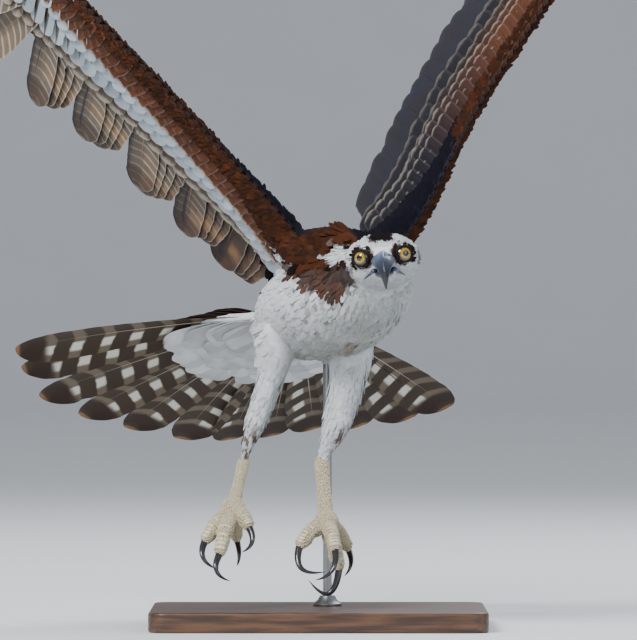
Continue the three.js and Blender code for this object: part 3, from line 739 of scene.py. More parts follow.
def vaneRings(row, stations, cells):
    root, tip = row["root"], row["tip"]
    n = len(root)
    ahead = tip - root
    length = np.linalg.norm(ahead, axis=1, keepdims=True)
    ahead = ahead / length
    side = unit(row["outward"] - ahead * np.sum(row["outward"] * ahead, 1, keepdims=True))
    face = np.cross(ahead, side)
    face *= np.sign(np.sum(face * row["dorsal"], 1, keepdims=True))
    lean = math.radians(row["tilt"])
    across = side * math.cos(lean) + face * math.sin(lean)
    rise = face * math.cos(lean) - side * math.sin(lean)
    s = 1 - (1 - np.linspace(0, 1, stations)) ** 1.35
    phase = rng.random((n, 1)) * 6.28
    ragged = 1 + 0.012 * np.sin(s[None] * 41 + phase) + 0.012 * np.sin(s[None] * 90 + phase * 2)
    split = rng.uniform(0.45, 0.9, (n, 1))
    ragged = ragged - 0.10 * np.exp(-((s[None] - split) / 0.018) ** 2) * (rng.random((n, 1)) < 0.5)
    a = np.linspace(0.42, -0.58, cells + 1)
    at = root[:, None] + ahead[:, None] * (s[None, :, None] * length[:, None])
    at = at + face[:, None] * (row["arch"] * length[:, None] * (4 * s * (1 - s))[None, :, None])
    width = (row["width"] * vaneWidth(row, s)[None] * ragged)[..., None]
    camber = -row.get("camber", 0.09) * width * (a / 0.5) ** 2
    half = row["thick"] / 2 * (1 - 0.7 * np.abs(a) / 0.58) * (1 - 0.5 * s[None, :, None])
    spot = at[:, :, None] + across[:, None, None] * (width * a)[..., None]
    over = spot + rise[:, None, None] * (camber + half)[..., None]
    under = spot + rise[:, None, None] * (camber - half)[..., None]
    rings = np.concatenate([over, under[:, :, ::-1]], 2)
    u = np.concatenate([a, a[::-1]]) + 0.58
    uv = np.stack(np.broadcast_arrays(u[None], s[:, None]), -1)
    below = np.concatenate([np.zeros(cells + 1), np.ones(cells + 1)])
    middle = at + rise[:, None] * 0.05
    return rings, uv, np.broadcast_to(below, (stations, len(below))), middle, across, rise


def vanes(name, rows, material, stations, cells, shaft, cellBake=False):
    verts, faces, uvs, below, tints, edges, rods, bakes = ([] for _ in range(8))
    base = 0
    total = sum(len(row["root"]) for row in rows)
    columns = int(math.ceil(math.sqrt(total * 3)))
    done = 0
    for row in rows:
        rings, uv, under, middle, across, rise = vaneRings(row, stations, cells)
        n = len(rings)
        s = uv[:, 0, 1]
        radius = shaft * (0.95 - 0.75 * s)
        turn = circle(5)
        rod = middle[:, :, None] + (across[:, None, None] * (np.cos(turn) * radius[:, None])[None, ..., None]
                                    + rise[:, None, None] * (np.sin(turn) * radius[:, None])[None, ..., None])
        rodUv = np.stack(np.broadcast_arrays(np.full((1, 5), 0.58), s[:, None]), -1)
        rodUnder = np.broadcast_to((np.sin(turn) < 0).astype(float), (stations, 5))
        tint = np.broadcast_to(row["tint"], (n, 3)) * rng.uniform(0.76, 1.14, (n, 1))
        webs = []
        for form in (rings, rod):
            first = form[0].reshape(-1, 3)
            webs.append(facesOut(first - first.mean(0), tubeFaces(stations, form.shape[2])))
        for k in range(n):
            for part, form in enumerate((rings, rod)):
                flat = form[k].reshape(-1, 3)
                place = (uv, rodUv)[part].reshape(-1, 2)
                lower = (under, rodUnder)[part].reshape(-1)
                verts.append(flat)
                faces.append(webs[part] + base)
                base += len(flat)
                uvs.append(place)
                below.append(lower)
                tints.append(np.broadcast_to(tint[k], flat.shape))
                edges.append(np.full(len(flat), row.get("edge", 0.0)))
                rods.append(np.full(len(flat), float(part)))
                if cellBake:
                    corner = np.array([done % columns, done // columns * 3.0])
                    side = np.where(lower > 0.5, 0.5, 0.0)
                    cell = np.stack([side + place[:, 0] * 0.45, place[:, 1] * 2.85], 1)
                    bakes.append((corner + cell) / columns)
                else:
                    bakes.append(row["bake"][k] + (place - 0.5) * tuft)
            done += 1
    values = {"tint": tints, "under": below, "edge": edges, "shaft": rods}
    maps = {"OFBake": bakes, "web": uvs}
    mesh = makeMesh(name, np.concatenate(verts) * mm, np.concatenate(faces),
                    {key: np.concatenate(value) for key, value in values.items()},
                    {key: np.concatenate(value) for key, value in maps.items()})
    print(name, total, "feathers", len(mesh.polygons), "triangles")
    return sharpRimmed(makeObject(name, mesh, material))


def wingRow(name, count, start, end, back, reach, root, rise, width, tint, lean, edge=0.0, shape=covertShape,
            thick=0.8, bunch=1):
    t = np.linspace(0, 1, count)
    u = start + (end - start) * t
    at, out, _, dorsal = wingPlace(name, u)
    depth = np.interp(u, *fleshDepth)
    chord = np.interp(u, *wingChord)
    far = np.clip(u + lean[0] + (lean[1] - lean[0]) * t, 0, 1)
    tipBack = (depth * reach[1] if reach[0] == "depth" else chord * reach[1]) * rng.uniform(0.97, 1.03, count)
    if bunch > 1:
        k = np.arange(count)
        middle = np.array([far[(k // bunch) == g].mean() for g in k // bunch])
        far = far + 0.7 * (middle - far)
        tipBack = tipBack * (1.03 - 0.035 * (bunch - 1 - k % bunch))
    spot = wingSpot(name, u, depth * back, root)
    place = np.stack([0.04 + 0.9 * u, 0.05 + 0.4 * back + (0.5 if rise > 0 else 0) + 0 * u], 1)
    return {"root": spot, "tip": wingSpot(name, far, tipBack, rise), "outward": out, "dorsal": dorsal,
            "width": width, "tilt": 4.0, "arch": 0.02, "thick": thick, "shape": shape, "tint": tint,
            "edge": edge, "camber": 0.05, "bake": place}


def primaries(name, count=10):
    t = np.linspace(0, 1, count)
    rootU = wristU + 0.02 + (handU - wristU - 0.02) * t
    tipU = np.minimum(0.475 + 0.53 * np.minimum(1, (t / 0.89) ** 0.92), 1)
    reach = np.interp(tipU, *wingChord)
    tipU[-1], reach[-1] = 0.965, 3
    _, out, _, dorsal = wingPlace(name, (rootU + tipU) / 2)
    rows = []
    for shape, part in ((bladeShape, t <= 0.55), (fingerShape, t > 0.55)):
        rows.append({
            "root": wingSpot(name, rootU, np.interp(rootU, *fleshDepth) * 0.55, 0)[part],
            "tip": wingSpot(name, tipU, reach, 0)[part], "outward": out[part], "dorsal": dorsal[part],
            "width": 38, "tilt": 6.5, "arch": 0.01, "thick": 0.9, "shape": shape,
            "tint": np.array(colours["greyBrown"]),
        })
    return rows


coverts = {  # where each row starts, how far it reaches, its tip's height, width, colour, shade, pale edge
    "above": [
        (0.42, ("chord", 0.62), 6.4, 30, "blueSheenNight", 1.0, 0.3),
        (0.3, ("chord", 0.44), 9.5, 24, "brown", 0.9, 0.35),
        (0.18, ("depth", 1.02), 10.6, 20, "chestnut", 0.75, 0.6),
        (0.10, ("depth", 0.78), 10.4, 17, "chestnut", 0.95, 0.6),
        (0.04, ("depth", 0.56), 9.2, 15, "chestnut", 0.8, 0.4),
        (0.0, ("depth", 0.36), 7.2, 13, "brown", 1.1, 0.15),
    ],
    "below": [
        (0.42, ("chord", 0.5), -6.2, 22, "greyBrown", 0.75, 0.8),
        (0.26, ("chord", 0.41), -8.2, 21, "paleBlue", 0.8, 0.35),
        (0.18, ("depth", 0.96), -9.6, 17, "paleBlue", 1.0, 0.35),
        (0.12, ("depth", 0.72), -9.6, 14, "chestnut", 1.0, 1.0),
        (0.06, ("depth", 0.52), -9.0, 12, "chestnut", 0.8, 0.1),
        (0.0, ("depth", 0.34), -7.4, 10, "brown", 1.0, 0.0),
    ],
}
quills = {"count": 20, "first": 0.045, "last": 0.425, "width": 37}
bunching = {  # the right wing's feathers hang in bunches with gaps between them
    "right": {"bunch": 4, "hang": (-0.045, -0.05), "lean": (-0.03, -0.03)},
    "left": {"bunch": 1, "hang": (0.0, 0.02), "lean": (0.0, 0.02)},
}


def makeWing(name, materials):
    held = bunching[name]
    count, first, last, width = (quills[key] for key in ("count", "first", "last", "width"))
    tints = blendTo("brown", "greyBrown", np.clip(np.linspace(-0.25, 1.6, count), 0, 1))
    long = wingRow(name, count, first, last, 0.6, ("chord", 1), 0, 0, width, tints, held["hang"],
                   shape=bladeShape, thick=0.9, bunch=held["bunch"])
    pieces = [vanes(f"wing_{name}_flight", [long] + primaries(name), materials["flight"], 34, 8, 1.0, True)]
    for face, rows in coverts.items():
        sign = 1 if face == "above" else -1
        made = []
        for k, (back, reach, lift, width, colour, shade, edge) in enumerate(rows):
            count = 26 + 4 * k
            height = sign * (4.2 if k == 0 else np.interp(back, [0, 0.12, 0.17, 0.42], [0.5, 5.4, 4.2, 4.0]))
            lean = held["lean"] if k < 3 else bunching["left"]["lean"]
            tint = np.array(colours[colour]) * shade
            if face == "above":
                # rows on top start near-black with a painted bluish sheen by the body
                outward = np.clip(np.linspace(-0.7, 3, count), 0, 1)[:, None]
                tint = np.array(colours["blueSheenNight"]) * (1 - outward) + tint * outward
            end = 0.56 if k else 0.52
            made.append(wingRow(name, count, 0.03, end, back, reach, height, lift, width, tint, lean, edge))
        pieces.append(vanes(f"wing_{name}_{face}", made, materials["covert"], 14, 4, 0.6))
    return pieces


def tailWeb(angles):  # what every row of tail feathers shares
    away = np.where(angles > tail["middle"], 1.0, -1.0)
    dorsal = np.tile(tail["top"], (len(angles), 1))
    return {"outward": tailWay(angles + 90 * away), "dorsal": dorsal, "tilt": 4}


def tailFeathers():
    angles, lengths = np.array(tail["angles"], float), np.array(tail["lengths"], float)
    return {**tailWeb(angles), "root": tailSpot(angles, 58, 0), "tip": tailSpot(angles, lengths, -4),
            "width": tail["width"], "arch": 0.015, "thick": 0.9, "shape": tailShape, "round": 0.8,
            "tint": np.array(colours["greyBrown"])}


def tailRow(count, start, reach, rise, width, tint, edge):
    t = np.linspace(0, 1, count)
    angles = tail["angles"][0] - 6 + (tail["angles"][-1] + 12 - tail["angles"][0]) * t
    place = np.stack([0.02 + 0.96 * t, 0.2 + 0.003 * reach + 0.01 * max(rise, 0) + 0 * t], 1)
    tip = tailSpot(angles, reach * rng.uniform(0.94, 1.06, count), rise)
    tint = np.tile(tint, (count, 1))
    if rise < 0:
        for x, z, size, mark in markings["rump"]:
            spot = np.clip((size + 2 - np.hypot(tip[:, 0] - x, tip[:, 2] - z)) / 4, 0, 1)
            tint = blend(tint, np.array(mark), 0.7 * spot)
    return {**tailWeb(angles), "root": tailSpot(angles, start, rise * 0.45), "tip": tip, "width": width,
            "arch": 0.03, "thick": 0.8, "shape": covertShape, "tint": tint, "edge": edge, "camber": 0.05,
            "bake": place}


def makeTail(materials):
    white, brown = np.array(colours["white"]), np.array(colours["brown"])
    long = vanes("tail_quills", [tailFeathers()], materials["tail"], 40, 10, 1.1, True)
    rows = []
    for k, (start, reach) in enumerate(((56, 128), (50, 108), (44, 92), (40, 78))):
        rows.append(tailRow(17 - k, start, reach, -5.6 - 1.6 * k, 25, white * 0.95, 0.1))
        rows.append(tailRow(17 - k, start, reach, 6.6 + 1.4 * k, 26, brown * 1.1, 0.3))
    return [long, vanes("tail_coverts", rows, materials["covert"], 14, 4, 0.6)]


# Materials

def link(tree, value, socket):
    if isinstance(value, bpy.types.NodeSocket):
        tree.links.new(value, socket)
    else:
        socket.default_value = value


def calc(tree, operation, a, b=0.0, c=0.0):
    made = tree.nodes.new("ShaderNodeMath")
    made.operation = operation
    for socket, value in zip(made.inputs, (a, b, c)):
        link(tree, value, socket)
    return made.outputs[0]


def times(tree, a, b):
    return calc(tree, "MULTIPLY", a, b)


def mix(tree, share, a, b):
    made = tree.nodes.new("ShaderNodeMix")
    made.data_type = "RGBA"
    for index, value in ((0, share), (6, a), (7, b)):
        if index != 0 and not isinstance(value, bpy.types.NodeSocket):
            value = (*value[:3], 1.0)
        link(tree, value, made.inputs[index])
    return made.outputs[2]


def step(tree, value, low, high):  # 0 at low, 1 at high
    made = tree.nodes.new("ShaderNodeMapRange")
    made.interpolation_type = "SMOOTHSTEP"
    for index, v in ((0, value), (1, low), (2, high)):
        link(tree, v, made.inputs[index])
    return made.outputs[0]


def attribute(tree, name, output="Fac"):
    made = tree.nodes.new("ShaderNodeAttribute")
    made.attribute_name = name
    return made.outputs[output]


def objectNoise(tree, scale, detail=3.0, stretch=(1, 1, 1)):
    place = tree.nodes.new("ShaderNodeTexCoord")
    turn = tree.nodes.new("ShaderNodeMapping")
    turn.inputs["Scale"].default_value = stretch
    noise = tree.nodes.new("ShaderNodeTexNoise")
    noise.inputs["Scale"].default_value = scale
    noise.inputs["Detail"].default_value = detail
    tree.links.new(place.outputs["Object"], turn.inputs[0])
    tree.links.new(turn.outputs[0], noise.inputs["Vector"])
    return noise.outputs["Fac"]


def webPlace(tree, layer):
    uv = tree.nodes.new("ShaderNodeUVMap")
    uv.uv_map = layer
    parts = tree.nodes.new("ShaderNodeSeparateXYZ")
    tree.links.new(uv.outputs[0], parts.inputs[0])
    return parts.outputs[0], parts.outputs[1]


def makeGroup(name, inputs, outputs, build):
    tree = bpy.data.node_groups.new(name, "ShaderNodeTree")
    for key, value in inputs:
        tree.interface.new_socket(key, in_out="INPUT", socket_type="NodeSocketFloat").default_value = value
    for key in outputs:
        tree.interface.new_socket(key, in_out="OUTPUT", socket_type="NodeSocketFloat")
    start = tree.nodes.new("NodeGroupInput")
    end = tree.nodes.new("NodeGroupOutput")
    for key, value in build(tree, start.outputs).items():
        tree.links.new(value, end.inputs[key])
    return tree


def barbLines(tree, put):  # fine ribs that run out from the shaft at a slant
    away = calc(tree, "ABSOLUTE", calc(tree, "SUBTRACT", put["Across"], 0.58))
    run = calc(tree, "SUBTRACT", put["Along"], times(tree, away, put["Slant"]))
    wave = calc(tree, "SINE", times(tree, run, put["Density"]))
    return {"Height": calc(tree, "MULTIPLY_ADD", wave, 0.5, 0.5)}


def crossBars(tree, put):  # bars across the web, wavy, with soft edges
    wobble = times(tree, calc(tree, "SUBTRACT", objectNoise(tree, 60, 2), 0.5), put["Wobble"])
    slant = times(tree, calc(tree, "ABSOLUTE", calc(tree, "SUBTRACT", put["Across"], 0.58)), 0.06)
    run = calc(tree, "ADD", calc(tree, "SUBTRACT", put["Along"], slant), wobble)
    part = calc(tree, "FRACT", times(tree, run, put["Count"]))
    rise = step(tree, part, 0.02, 0.12)
    fall = step(tree, part, calc(tree, "ADD", put["Share"], 0.1), put["Share"])
    return {"Mask": times(tree, rise, fall)}


def useGroup(tree, group, **values):
    made = tree.nodes.new("ShaderNodeGroup")
    made.node_tree = group
    for key, value in values.items():
        link(tree, value, made.inputs[key])
    return made.outputs


def newMaterial(name, **sockets):
    material = bpy.data.materials.new(name)
    material.use_nodes = True
    shader = material.node_tree.nodes["Principled BSDF"]
    for key, value in sockets.items():
        shader.inputs[key.replace("_", " ")].default_value = value
    return material, material.node_tree, shader


def bump(tree, shader, height, distance, strength=1.0):
    made = tree.nodes.new("ShaderNodeBump")
    made.inputs["Distance"].default_value = distance
    made.inputs["Strength"].default_value = strength
    tree.links.new(height, made.inputs["Height"])
    tree.links.new(made.outputs[0], shader.inputs["Normal"])


def bodyMaterial(name, groups, ribs):
    material, tree, shader = newMaterial(name, Roughness=0.85, Specular_IOR_Level=0.03)
    tint = attribute(tree, "tint", "Color")
    cloud = step(tree, objectNoise(tree, 320, 4), 0.25, 0.75)
    colour = mix(tree, times(tree, cloud, 0.3), tint, mix(tree, 0.6, tint, (0.0, 0.0, 0.0)))
    if ribs:
        across, along = webPlace(tree, "own")
        across = calc(tree, "ADD", across, 0.08)
        lines = useGroup(tree, groups["barbs"], Across=across, Along=along, Density=95.0, Slant=0.9)
        colour = mix(tree, times(tree, lines["Height"], 0.16), colour, tint)
        bump(tree, shader, lines["Height"], 0.00035, 0.7)
    else:
        bump(tree, shader, objectNoise(tree, 900, 3), 0.0006, 0.8)
    tree.links.new(colour, shader.inputs["Base Color"])
    return material


def covertMaterial(groups):
    material, tree, shader = newMaterial("covert feathers", Roughness=0.62, Specular_IOR_Level=0.2)
    across, along = webPlace(tree, "web")
    tint = attribute(tree, "tint", "Color")
    lines = useGroup(tree, groups["barbs"], Across=across, Along=along, Density=210.0, Slant=0.7)
    side = calc(tree, "MAXIMUM", step(tree, across, 0.14, 0.02), step(tree, across, 0.87, 0.98))
    rough = times(tree, calc(tree, "SUBTRACT", objectNoise(tree, 240, 3), 0.5), 0.14)
    end = step(tree, calc(tree, "ADD", along, rough), 0.86, 0.97)
    rim = times(tree, calc(tree, "MAXIMUM", times(tree, side, 0.15), end), attribute(tree, "edge"))
    cloud = step(tree, objectNoise(tree, 45, 4), 0.3, 0.7)
    colour = mix(tree, times(tree, cloud, 0.35), tint, mix(tree, 0.55, tint, colours["dark"]))
    colour = mix(tree, times(tree, rim, 0.8), colour, mix(tree, 0.55, colours["buff"], colours["pale"]))
    colour = mix(tree, times(tree, attribute(tree, "shaft"), 0.6), colour, colours["dark"])
    colour = mix(tree, times(tree, lines["Height"], 0.12), colour, colours["dark"])
    tree.links.new(colour, shader.inputs["Base Color"])
    bump(tree, shader, lines["Height"], 0.0004, 0.6)
    return material


def flightMaterial(groups):
    material, tree, shader = newMaterial("flight feathers", Roughness=0.5, Specular_IOR_Level=0.3)
    across, along = webPlace(tree, "web")
    tint = attribute(tree, "tint", "Color")
    lines = useGroup(tree, groups["barbs"], Across=across, Along=along, Density=520.0, Slant=0.35)
    bars = useGroup(tree, groups["bars"], Across=across, Along=along, Count=13.0, Share=0.26, Wobble=0.03)
    inner = step(tree, across, 0.56, 0.42)
    tip = step(tree, along, 0.76, 0.86)
    cloud = step(tree, objectNoise(tree, 38, 4), 0.3, 0.7)
    tan = times(tree, times(tree, cloud, inner), step(tree, along, 0.5, 0.75))
    warm = mix(tree, times(tree, tan, 0.7), tint, colours["buff"])
    barred = step(tree, tint, 0.02, 0.09)
    strength = calc(tree, "MULTIPLY_ADD", inner, 0.22, 0.16)
    pale = times(tree, times(tree, bars["Mask"], strength), barred)
    below = mix(tree, pale, warm, colours["pale"])
    below = mix(tree, times(tree, tip, 0.75), below, colours["brown"])
    # the blue-black laid on the outer edge underneath carries the painted bluish sheen too
    below = mix(tree, times(tree, step(tree, across, 0.84, 0.97), 0.7), below, colours["blueSheenBlack"])
    faint = times(tree, bars["Mask"], 0.25)
    # the upper side: dark feather colour with a painted bluish sheen in patches
    above = mix(tree, calc(tree, "MULTIPLY_ADD", cloud, 0.6, 0.3), colours["dark"], colours["blueSheenBlack"])
    above = mix(tree, faint, above, colours["brown"])
    under = step(tree, attribute(tree, "under"), 0.4, 0.6)
    colour = mix(tree, under, above, below)
    rim = calc(tree, "MAXIMUM", step(tree, along, 0.975, 0.995), step(tree, across, 0.045, 0.01))
    rim = times(tree, rim, calc(tree, "MULTIPLY_ADD", under, -0.2, 0.45))
    colour = mix(tree, rim, colour, colours["pale"])
    rod = mix(tree, under, colours["dark"], colours["buff"])
    colour = mix(tree, attribute(tree, "shaft"), colour, rod)
    colour = mix(tree, times(tree, lines["Height"], 0.14), colour, colours["dark"])
    tree.links.new(colour, shader.inputs["Base Color"])
    tree.links.new(calc(tree, "MULTIPLY_ADD", under, 0.22, 0.42), shader.inputs["Roughness"])
    bump(tree, shader, lines["Height"], 0.0003, 0.6)
    return material


def tailMaterial(groups):
    material, tree, shader = newMaterial("tail feathers", Roughness=0.6, Specular_IOR_Level=0.18)
    across, along = webPlace(tree, "web")
    lines = useGroup(tree, groups["barbs"], Across=across, Along=along, Density=560.0, Slant=0.3)
    bars = useGroup(tree, groups["bars"], Across=across, Along=along, Count=7.5, Share=0.4, Wobble=0.03)
    inner = times(tree, step(tree, across, 0.46, 0.4), step(tree, across, 0.14, 0.22))
    end = step(tree, along, 0.84, 0.88)
    window = times(tree, times(tree, bars["Mask"], inner), calc(tree, "SUBTRACT", 1.0, end))
    outerWeb = mix(tree, times(tree, bars["Mask"], 0.8), tone(60, 48, 38), tone(116, 104, 88))
    colour = mix(tree, times(tree, window, 0.85), outerWeb, colours["window"])
    below = mix(tree, times(tree, end, 0.9), colour, tone(46, 30, 22))
    top = mix(tree, 0.4, colours["brown"], colours["dark"])
    above = mix(tree, times(tree, window, 0.55), top, colours["buff"])
    under = step(tree, attribute(tree, "under"), 0.4, 0.6)
    colour = mix(tree, under, above, below)
    rim = step(tree, along, 0.972, 0.99)
    colour = mix(tree, times(tree, rim, 0.75), colour, colours["buff"])
    colour = mix(tree, attribute(tree, "shaft"), colour, mix(tree, 0.5, colours["buff"], colours["pale"]))
    colour = mix(tree, times(tree, lines["Height"], 0.14), colour, colours["dark"])
    tree.links.new(colour, shader.inputs["Base Color"])
    bump(tree, shader, lines["Height"], 0.0003, 0.6)
    return material


def billMaterial():
    material, tree, shader = newMaterial("bill horn", Roughness=0.32, Coat_Weight=0.35, Coat_Roughness=0.15)
    toTip = attribute(tree, "toTip")
    lines = objectNoise(tree, 260, 3, (1, 1, 3.5))
    base = mix(tree, step(tree, toTip, 0.3, 0.55), tone(84, 102, 130), tone(40, 48, 68))
    colour = mix(tree, step(tree, toTip, 0.5, 0.75), base, tone(18, 19, 26))
    colour = mix(tree, times(tree, lines, 0.3), colour, tone(36, 40, 54))
    tree.links.new(colour, shader.inputs["Base Color"])
    tree.links.new(calc(tree, "MULTIPLY_ADD", lines, 0.3, 0.2), shader.inputs["Roughness"])
    bump(tree, shader, lines, 0.0006, 0.5)
    return material


def eyeMaterial():
    material, tree, shader = newMaterial("eye", Roughness=0.06, Coat_Weight=1.0, Coat_Roughness=0.02)
    ring = attribute(tree, "fromPupil")
    streaks = objectNoise(tree, 1400, 4)
    iris = mix(tree, streaks, tone(180, 148, 2), tone(142, 106, 1))
    iris = mix(tree, step(tree, ring, 0.44, 0.6), iris, tone(100, 62, 3))
    colour = mix(tree, step(tree, ring, 0.305, 0.285), iris, tone(6, 5, 6))
    colour = mix(tree, step(tree, ring, 0.6, 0.65), colour, tone(16, 12, 12))
    tree.links.new(colour, shader.inputs["Base Color"])
    return material


def scaleMaterial():
    material, tree, shader = newMaterial("leg scales", Roughness=0.55)
    place = tree.nodes.new("ShaderNodeTexCoord")
    cells = tree.nodes.new("ShaderNodeTexVoronoi")
    cells.feature = "DISTANCE_TO_EDGE"
    cells.inputs["Scale"].default_value = 620
    tree.links.new(place.outputs["Object"], cells.inputs["Vector"])
    seam = step(tree, cells.outputs["Distance"], 0.0, 0.16)
    cloud = objectNoise(tree, 130, 4)
    colour = mix(tree, cloud, tone(206, 194, 162), tone(172, 158, 124))
    colour = mix(tree, times(tree, calc(tree, "SUBTRACT", 1.0, seam), 0.55), colour, tone(112, 100, 78))
    tree.links.new(colour, shader.inputs["Base Color"])
    axes = tree.nodes.new("ShaderNodeSeparateXYZ")
    tree.links.new(place.outputs["Object"], axes.inputs[0])
    height = calc(tree, "ADD", times(tree, axes.outputs[2], 2400.0), times(tree, cloud, 6.0))
    band = calc(tree, "SINE", height)
    bump(tree, shader, calc(tree, "MULTIPLY_ADD", band, 0.4, seam), 0.0009, 0.9)
    return material


def plateMaterial():
    material, tree, shader = newMaterial("foot plates", Roughness=0.42)
    cloud = objectNoise(tree, 300, 4)
    tree.links.new(mix(tree, cloud, tone(222, 214, 190), tone(180, 168, 138)), shader.inputs["Base Color"])
    bump(tree, shader, cloud, 0.0004, 0.5)
    return material


def clawMaterial():
    material, tree, shader = newMaterial("claw horn", Roughness=0.22, Coat_Weight=0.5, Coat_Roughness=0.08)
    streak = objectNoise(tree, 420, 3, (1, 1, 0.3))
    tree.links.new(mix(tree, streak, tone(14, 14, 18), tone(48, 46, 52)), shader.inputs["Base Color"])
    bump(tree, shader, streak, 0.0003, 0.4)
    return material


def lidMaterial():
    material, tree, shader = newMaterial("eyelid skin", Roughness=0.6, Specular_IOR_Level=0.15)
    cloud = objectNoise(tree, 900, 3)
    tree.links.new(mix(tree, cloud, tone(12, 10, 10), tone(26, 22, 22)), shader.inputs["Base Color"])
    bump(tree, shader, cloud, 0.0004, 0.8)
    return material


def woodMaterial():
    material, tree, shader = newMaterial("stand wood", Roughness=0.4, Coat_Weight=0.25, Coat_Roughness=0.25)
    grain = objectNoise(tree, 26, 6, (0.6, 9, 9))
    fine = objectNoise(tree, 260, 3, (0.15, 3, 3))
    colour = mix(tree, step(tree, grain, 0.35, 0.68), tone(58, 38, 26), tone(104, 70, 46))
    colour = mix(tree, times(tree, fine, 0.35), colour, tone(34, 22, 16))
    tree.links.new(colour, shader.inputs["Base Color"])
    tree.links.new(calc(tree, "MULTIPLY_ADD", fine, 0.25, 0.32), shader.inputs["Roughness"])
    bump(tree, shader, fine, 0.0004, 0.4)
    return material


def steelMaterial():
    material, tree, shader = newMaterial("stand steel", Metallic=1.0, Roughness=0.3)
    brush = objectNoise(tree, 300, 3, (1, 1, 18))
    tree.links.new(mix(tree, brush, tone(168, 170, 172), tone(132, 134, 138)), shader.inputs["Base Color"])
    tree.links.new(calc(tree, "MULTIPLY_ADD", brush, 0.25, 0.2), shader.inputs["Roughness"])
    return material


# Head pieces

bill = {
    "upper": {
        "at": [(0, -27, -1), (0, -38, -1), (0, -47, -2.5), (0, -56, -6.5), (0, -61.5, -13), (0, -62.5, -20),
               (0, -61, -26.5)],
        "half": [(10.5, 8, 0), (10.5, 8, 0), (9.2, 7.6, 0), (7, 6.4, 0), (4.4, 4.6, 0), (2.3, 2.6, 0),
                 (0.7, 0.8, 0)],
    },
    "lower": {
        "at": [(0, -27, -12), (0, -40, -13), (0, -49, -13.4), (0, -55, -13.4)],
        "half": [(8.5, 4, 0), (7.8, 3.6, 0), (5.6, 2.8, 0), (2.6, 1.6, 0)],
    },
    "nostril": np.array([8.2, -42.5, 2.4]), "rings": 90, "around": 48,
}


def makeBill(part, material):
    count, around = bill["rings"], bill["around"]
    rings = ovalRings(bill[part], 0, count, around, (1, 0, 0))
    local = rings.reshape(-1, 3)
    toTip = np.repeat(np.linspace(0, 1, count), around)
    if part == "upper":
        middle = rings.mean(1)[:, None, 2]
        high = (rings[:, :, 2] - middle) / (np.abs(rings[:, :, 2] - middle).max(1, keepdims=True) + 0.01)
        local[:, 0] *= 1 - 0.5 * np.clip(high.ravel(), 0, 1) ** 1.3 * (toTip < 0.75)
        hole = np.zeros(len(local))
        for side in (-1, 1):
            off = (local - bill["nostril"] * np.array([side, 1, 1])) / np.array([3.0, 2.4, 1.3])
            hole = np.maximum(hole, np.exp(-np.sum(off ** 2, 1) ** 2))
        ridge = np.exp(-(local[:, 0] / 1.6) ** 2) * 0.35
        local = local + np.array([0, -0.4, 0.9]) * ridge[:, None]
        cere = np.exp(-((local[:, 1] + 44.5) / 1.1) ** 2) * (local[:, 2] > -12)
        local = local - (local - np.array([0, -40, -3])) * (0.045 * cere)[:, None]
        local = local - np.sign(local[:, :1]) * np.array([1.0, 0, 0]) * (hole * 1.6)[:, None]
    form = (headPlace(local), tubeFaces(count, around))
    return joined(f"bill_{part}_horn", [form], material, {"toTip": toTip})


eyes = {
    "at": np.array([16.6, -25.6, 2.6]), "look": np.array([0.42, -0.9, 0.05]), "radius": 9.0,
    "lid": 7.0, "tube": 1.1,
}


def eyeFrame(side):  # the middle of an eye, and three directions with the last the way it looks
    look = unit(eyes["look"] * np.array([side, 1, 1]))
    across = unit(np.cross(look, up))
    return eyes["at"] * np.array([side, 1, 1]), across, np.cross(across, look), look


def makeEye(name, side, material):
    centre, x, y, z = eyeFrame(side)
    polar = np.linspace(0.004, np.pi - 0.01, 60)
    around = circle(56)
    radius = (eyes["radius"] * (1 + 0.035 * np.exp(-(polar / 0.55) ** 2)))[:, None, None]
    rings = (x * (np.sin(polar)[:, None] * np.cos(around))[..., None]
             + y * (np.sin(polar)[:, None] * np.sin(around))[..., None]
             + z * (np.cos(polar)[:, None] * np.ones(56))[..., None]) * radius
    place = headPlace(rings.reshape(-1, 3) + centre)
    return joined(name, [(place, tubeFaces(60, 56))], material, {"fromPupil": np.repeat(polar, 56)})


def ringFaces(n, m):  # a closed ring of n small rounds of m points
    i, k = np.meshgrid(np.arange(n), np.arange(m), indexing="ij")
    a, b = (i * m + k).ravel(), (i * m + (k + 1) % m).ravel()
    c, d = (((i + 1) % n) * m + (k + 1) % m).ravel(), (((i + 1) % n) * m + k).ravel()
    return np.vstack([np.stack([a, b, c], 1), np.stack([a, c, d], 1)])


def makeLids(material):
    forms = []
    for side in (-1, 1):
        centre, x, y, z = eyeFrame(side)
        turn, around = circle(72), circle(14)
        high = np.clip(np.sin(turn), 0, 1) ** 1.5
        tube = eyes["tube"] * (1 + 0.45 * high + 0.05 * np.sin(turn * 9))
        radius = eyes["lid"] - 0.7 * high
        ring = x * np.cos(turn)[:, None] + y * np.sin(turn)[:, None]
        points = (centre + z * (eyes["radius"] - 3.6)
                  + ring[:, None] * (radius[:, None] + tube[:, None] * np.cos(around))[..., None]
                  + z * (tube[:, None] * np.sin(around) + 0.9 * high[:, None])[..., None])
        forms.append((headPlace(points.reshape(-1, 3)), ringFaces(72, 14)))
    return joined("eyelids", forms, material)


gape = [(8.5, -41, -9.6), (12, -37, -10.4), (16, -31, -12.2), (19.5, -25, -14.4)]


def makeGape(material):  # the line of the mouth, from the bill back under each eye
    forms = []
    share = np.linspace(0, 1, 30)
    onSkull = np.clip(share * 2, 0, 1)[:, None]
    for side in (-1, 1):
        line = spline(np.array(gape) * np.array([side, 1, 1]), share)
        line = line * (1 - onSkull) + skullPoints(unit(line / np.array(head["half"])), 0.6) * onSkull
        ahead = unit(np.gradient(line, axis=0))
        across = unit(np.cross(ahead, up))
        size = 3.0 * (1 - 0.8 * share[:, None])
        rings = ringed(line, across, np.cross(across, ahead), circle(10), size, size * 0.7)
        forms.append((headPlace(rings.reshape(-1, 3)), tubeFaces(30, 10)))
    return joined("gape", forms, material, {"toTip": np.full(2 * 30 * 10, 0.5)})


# Feet

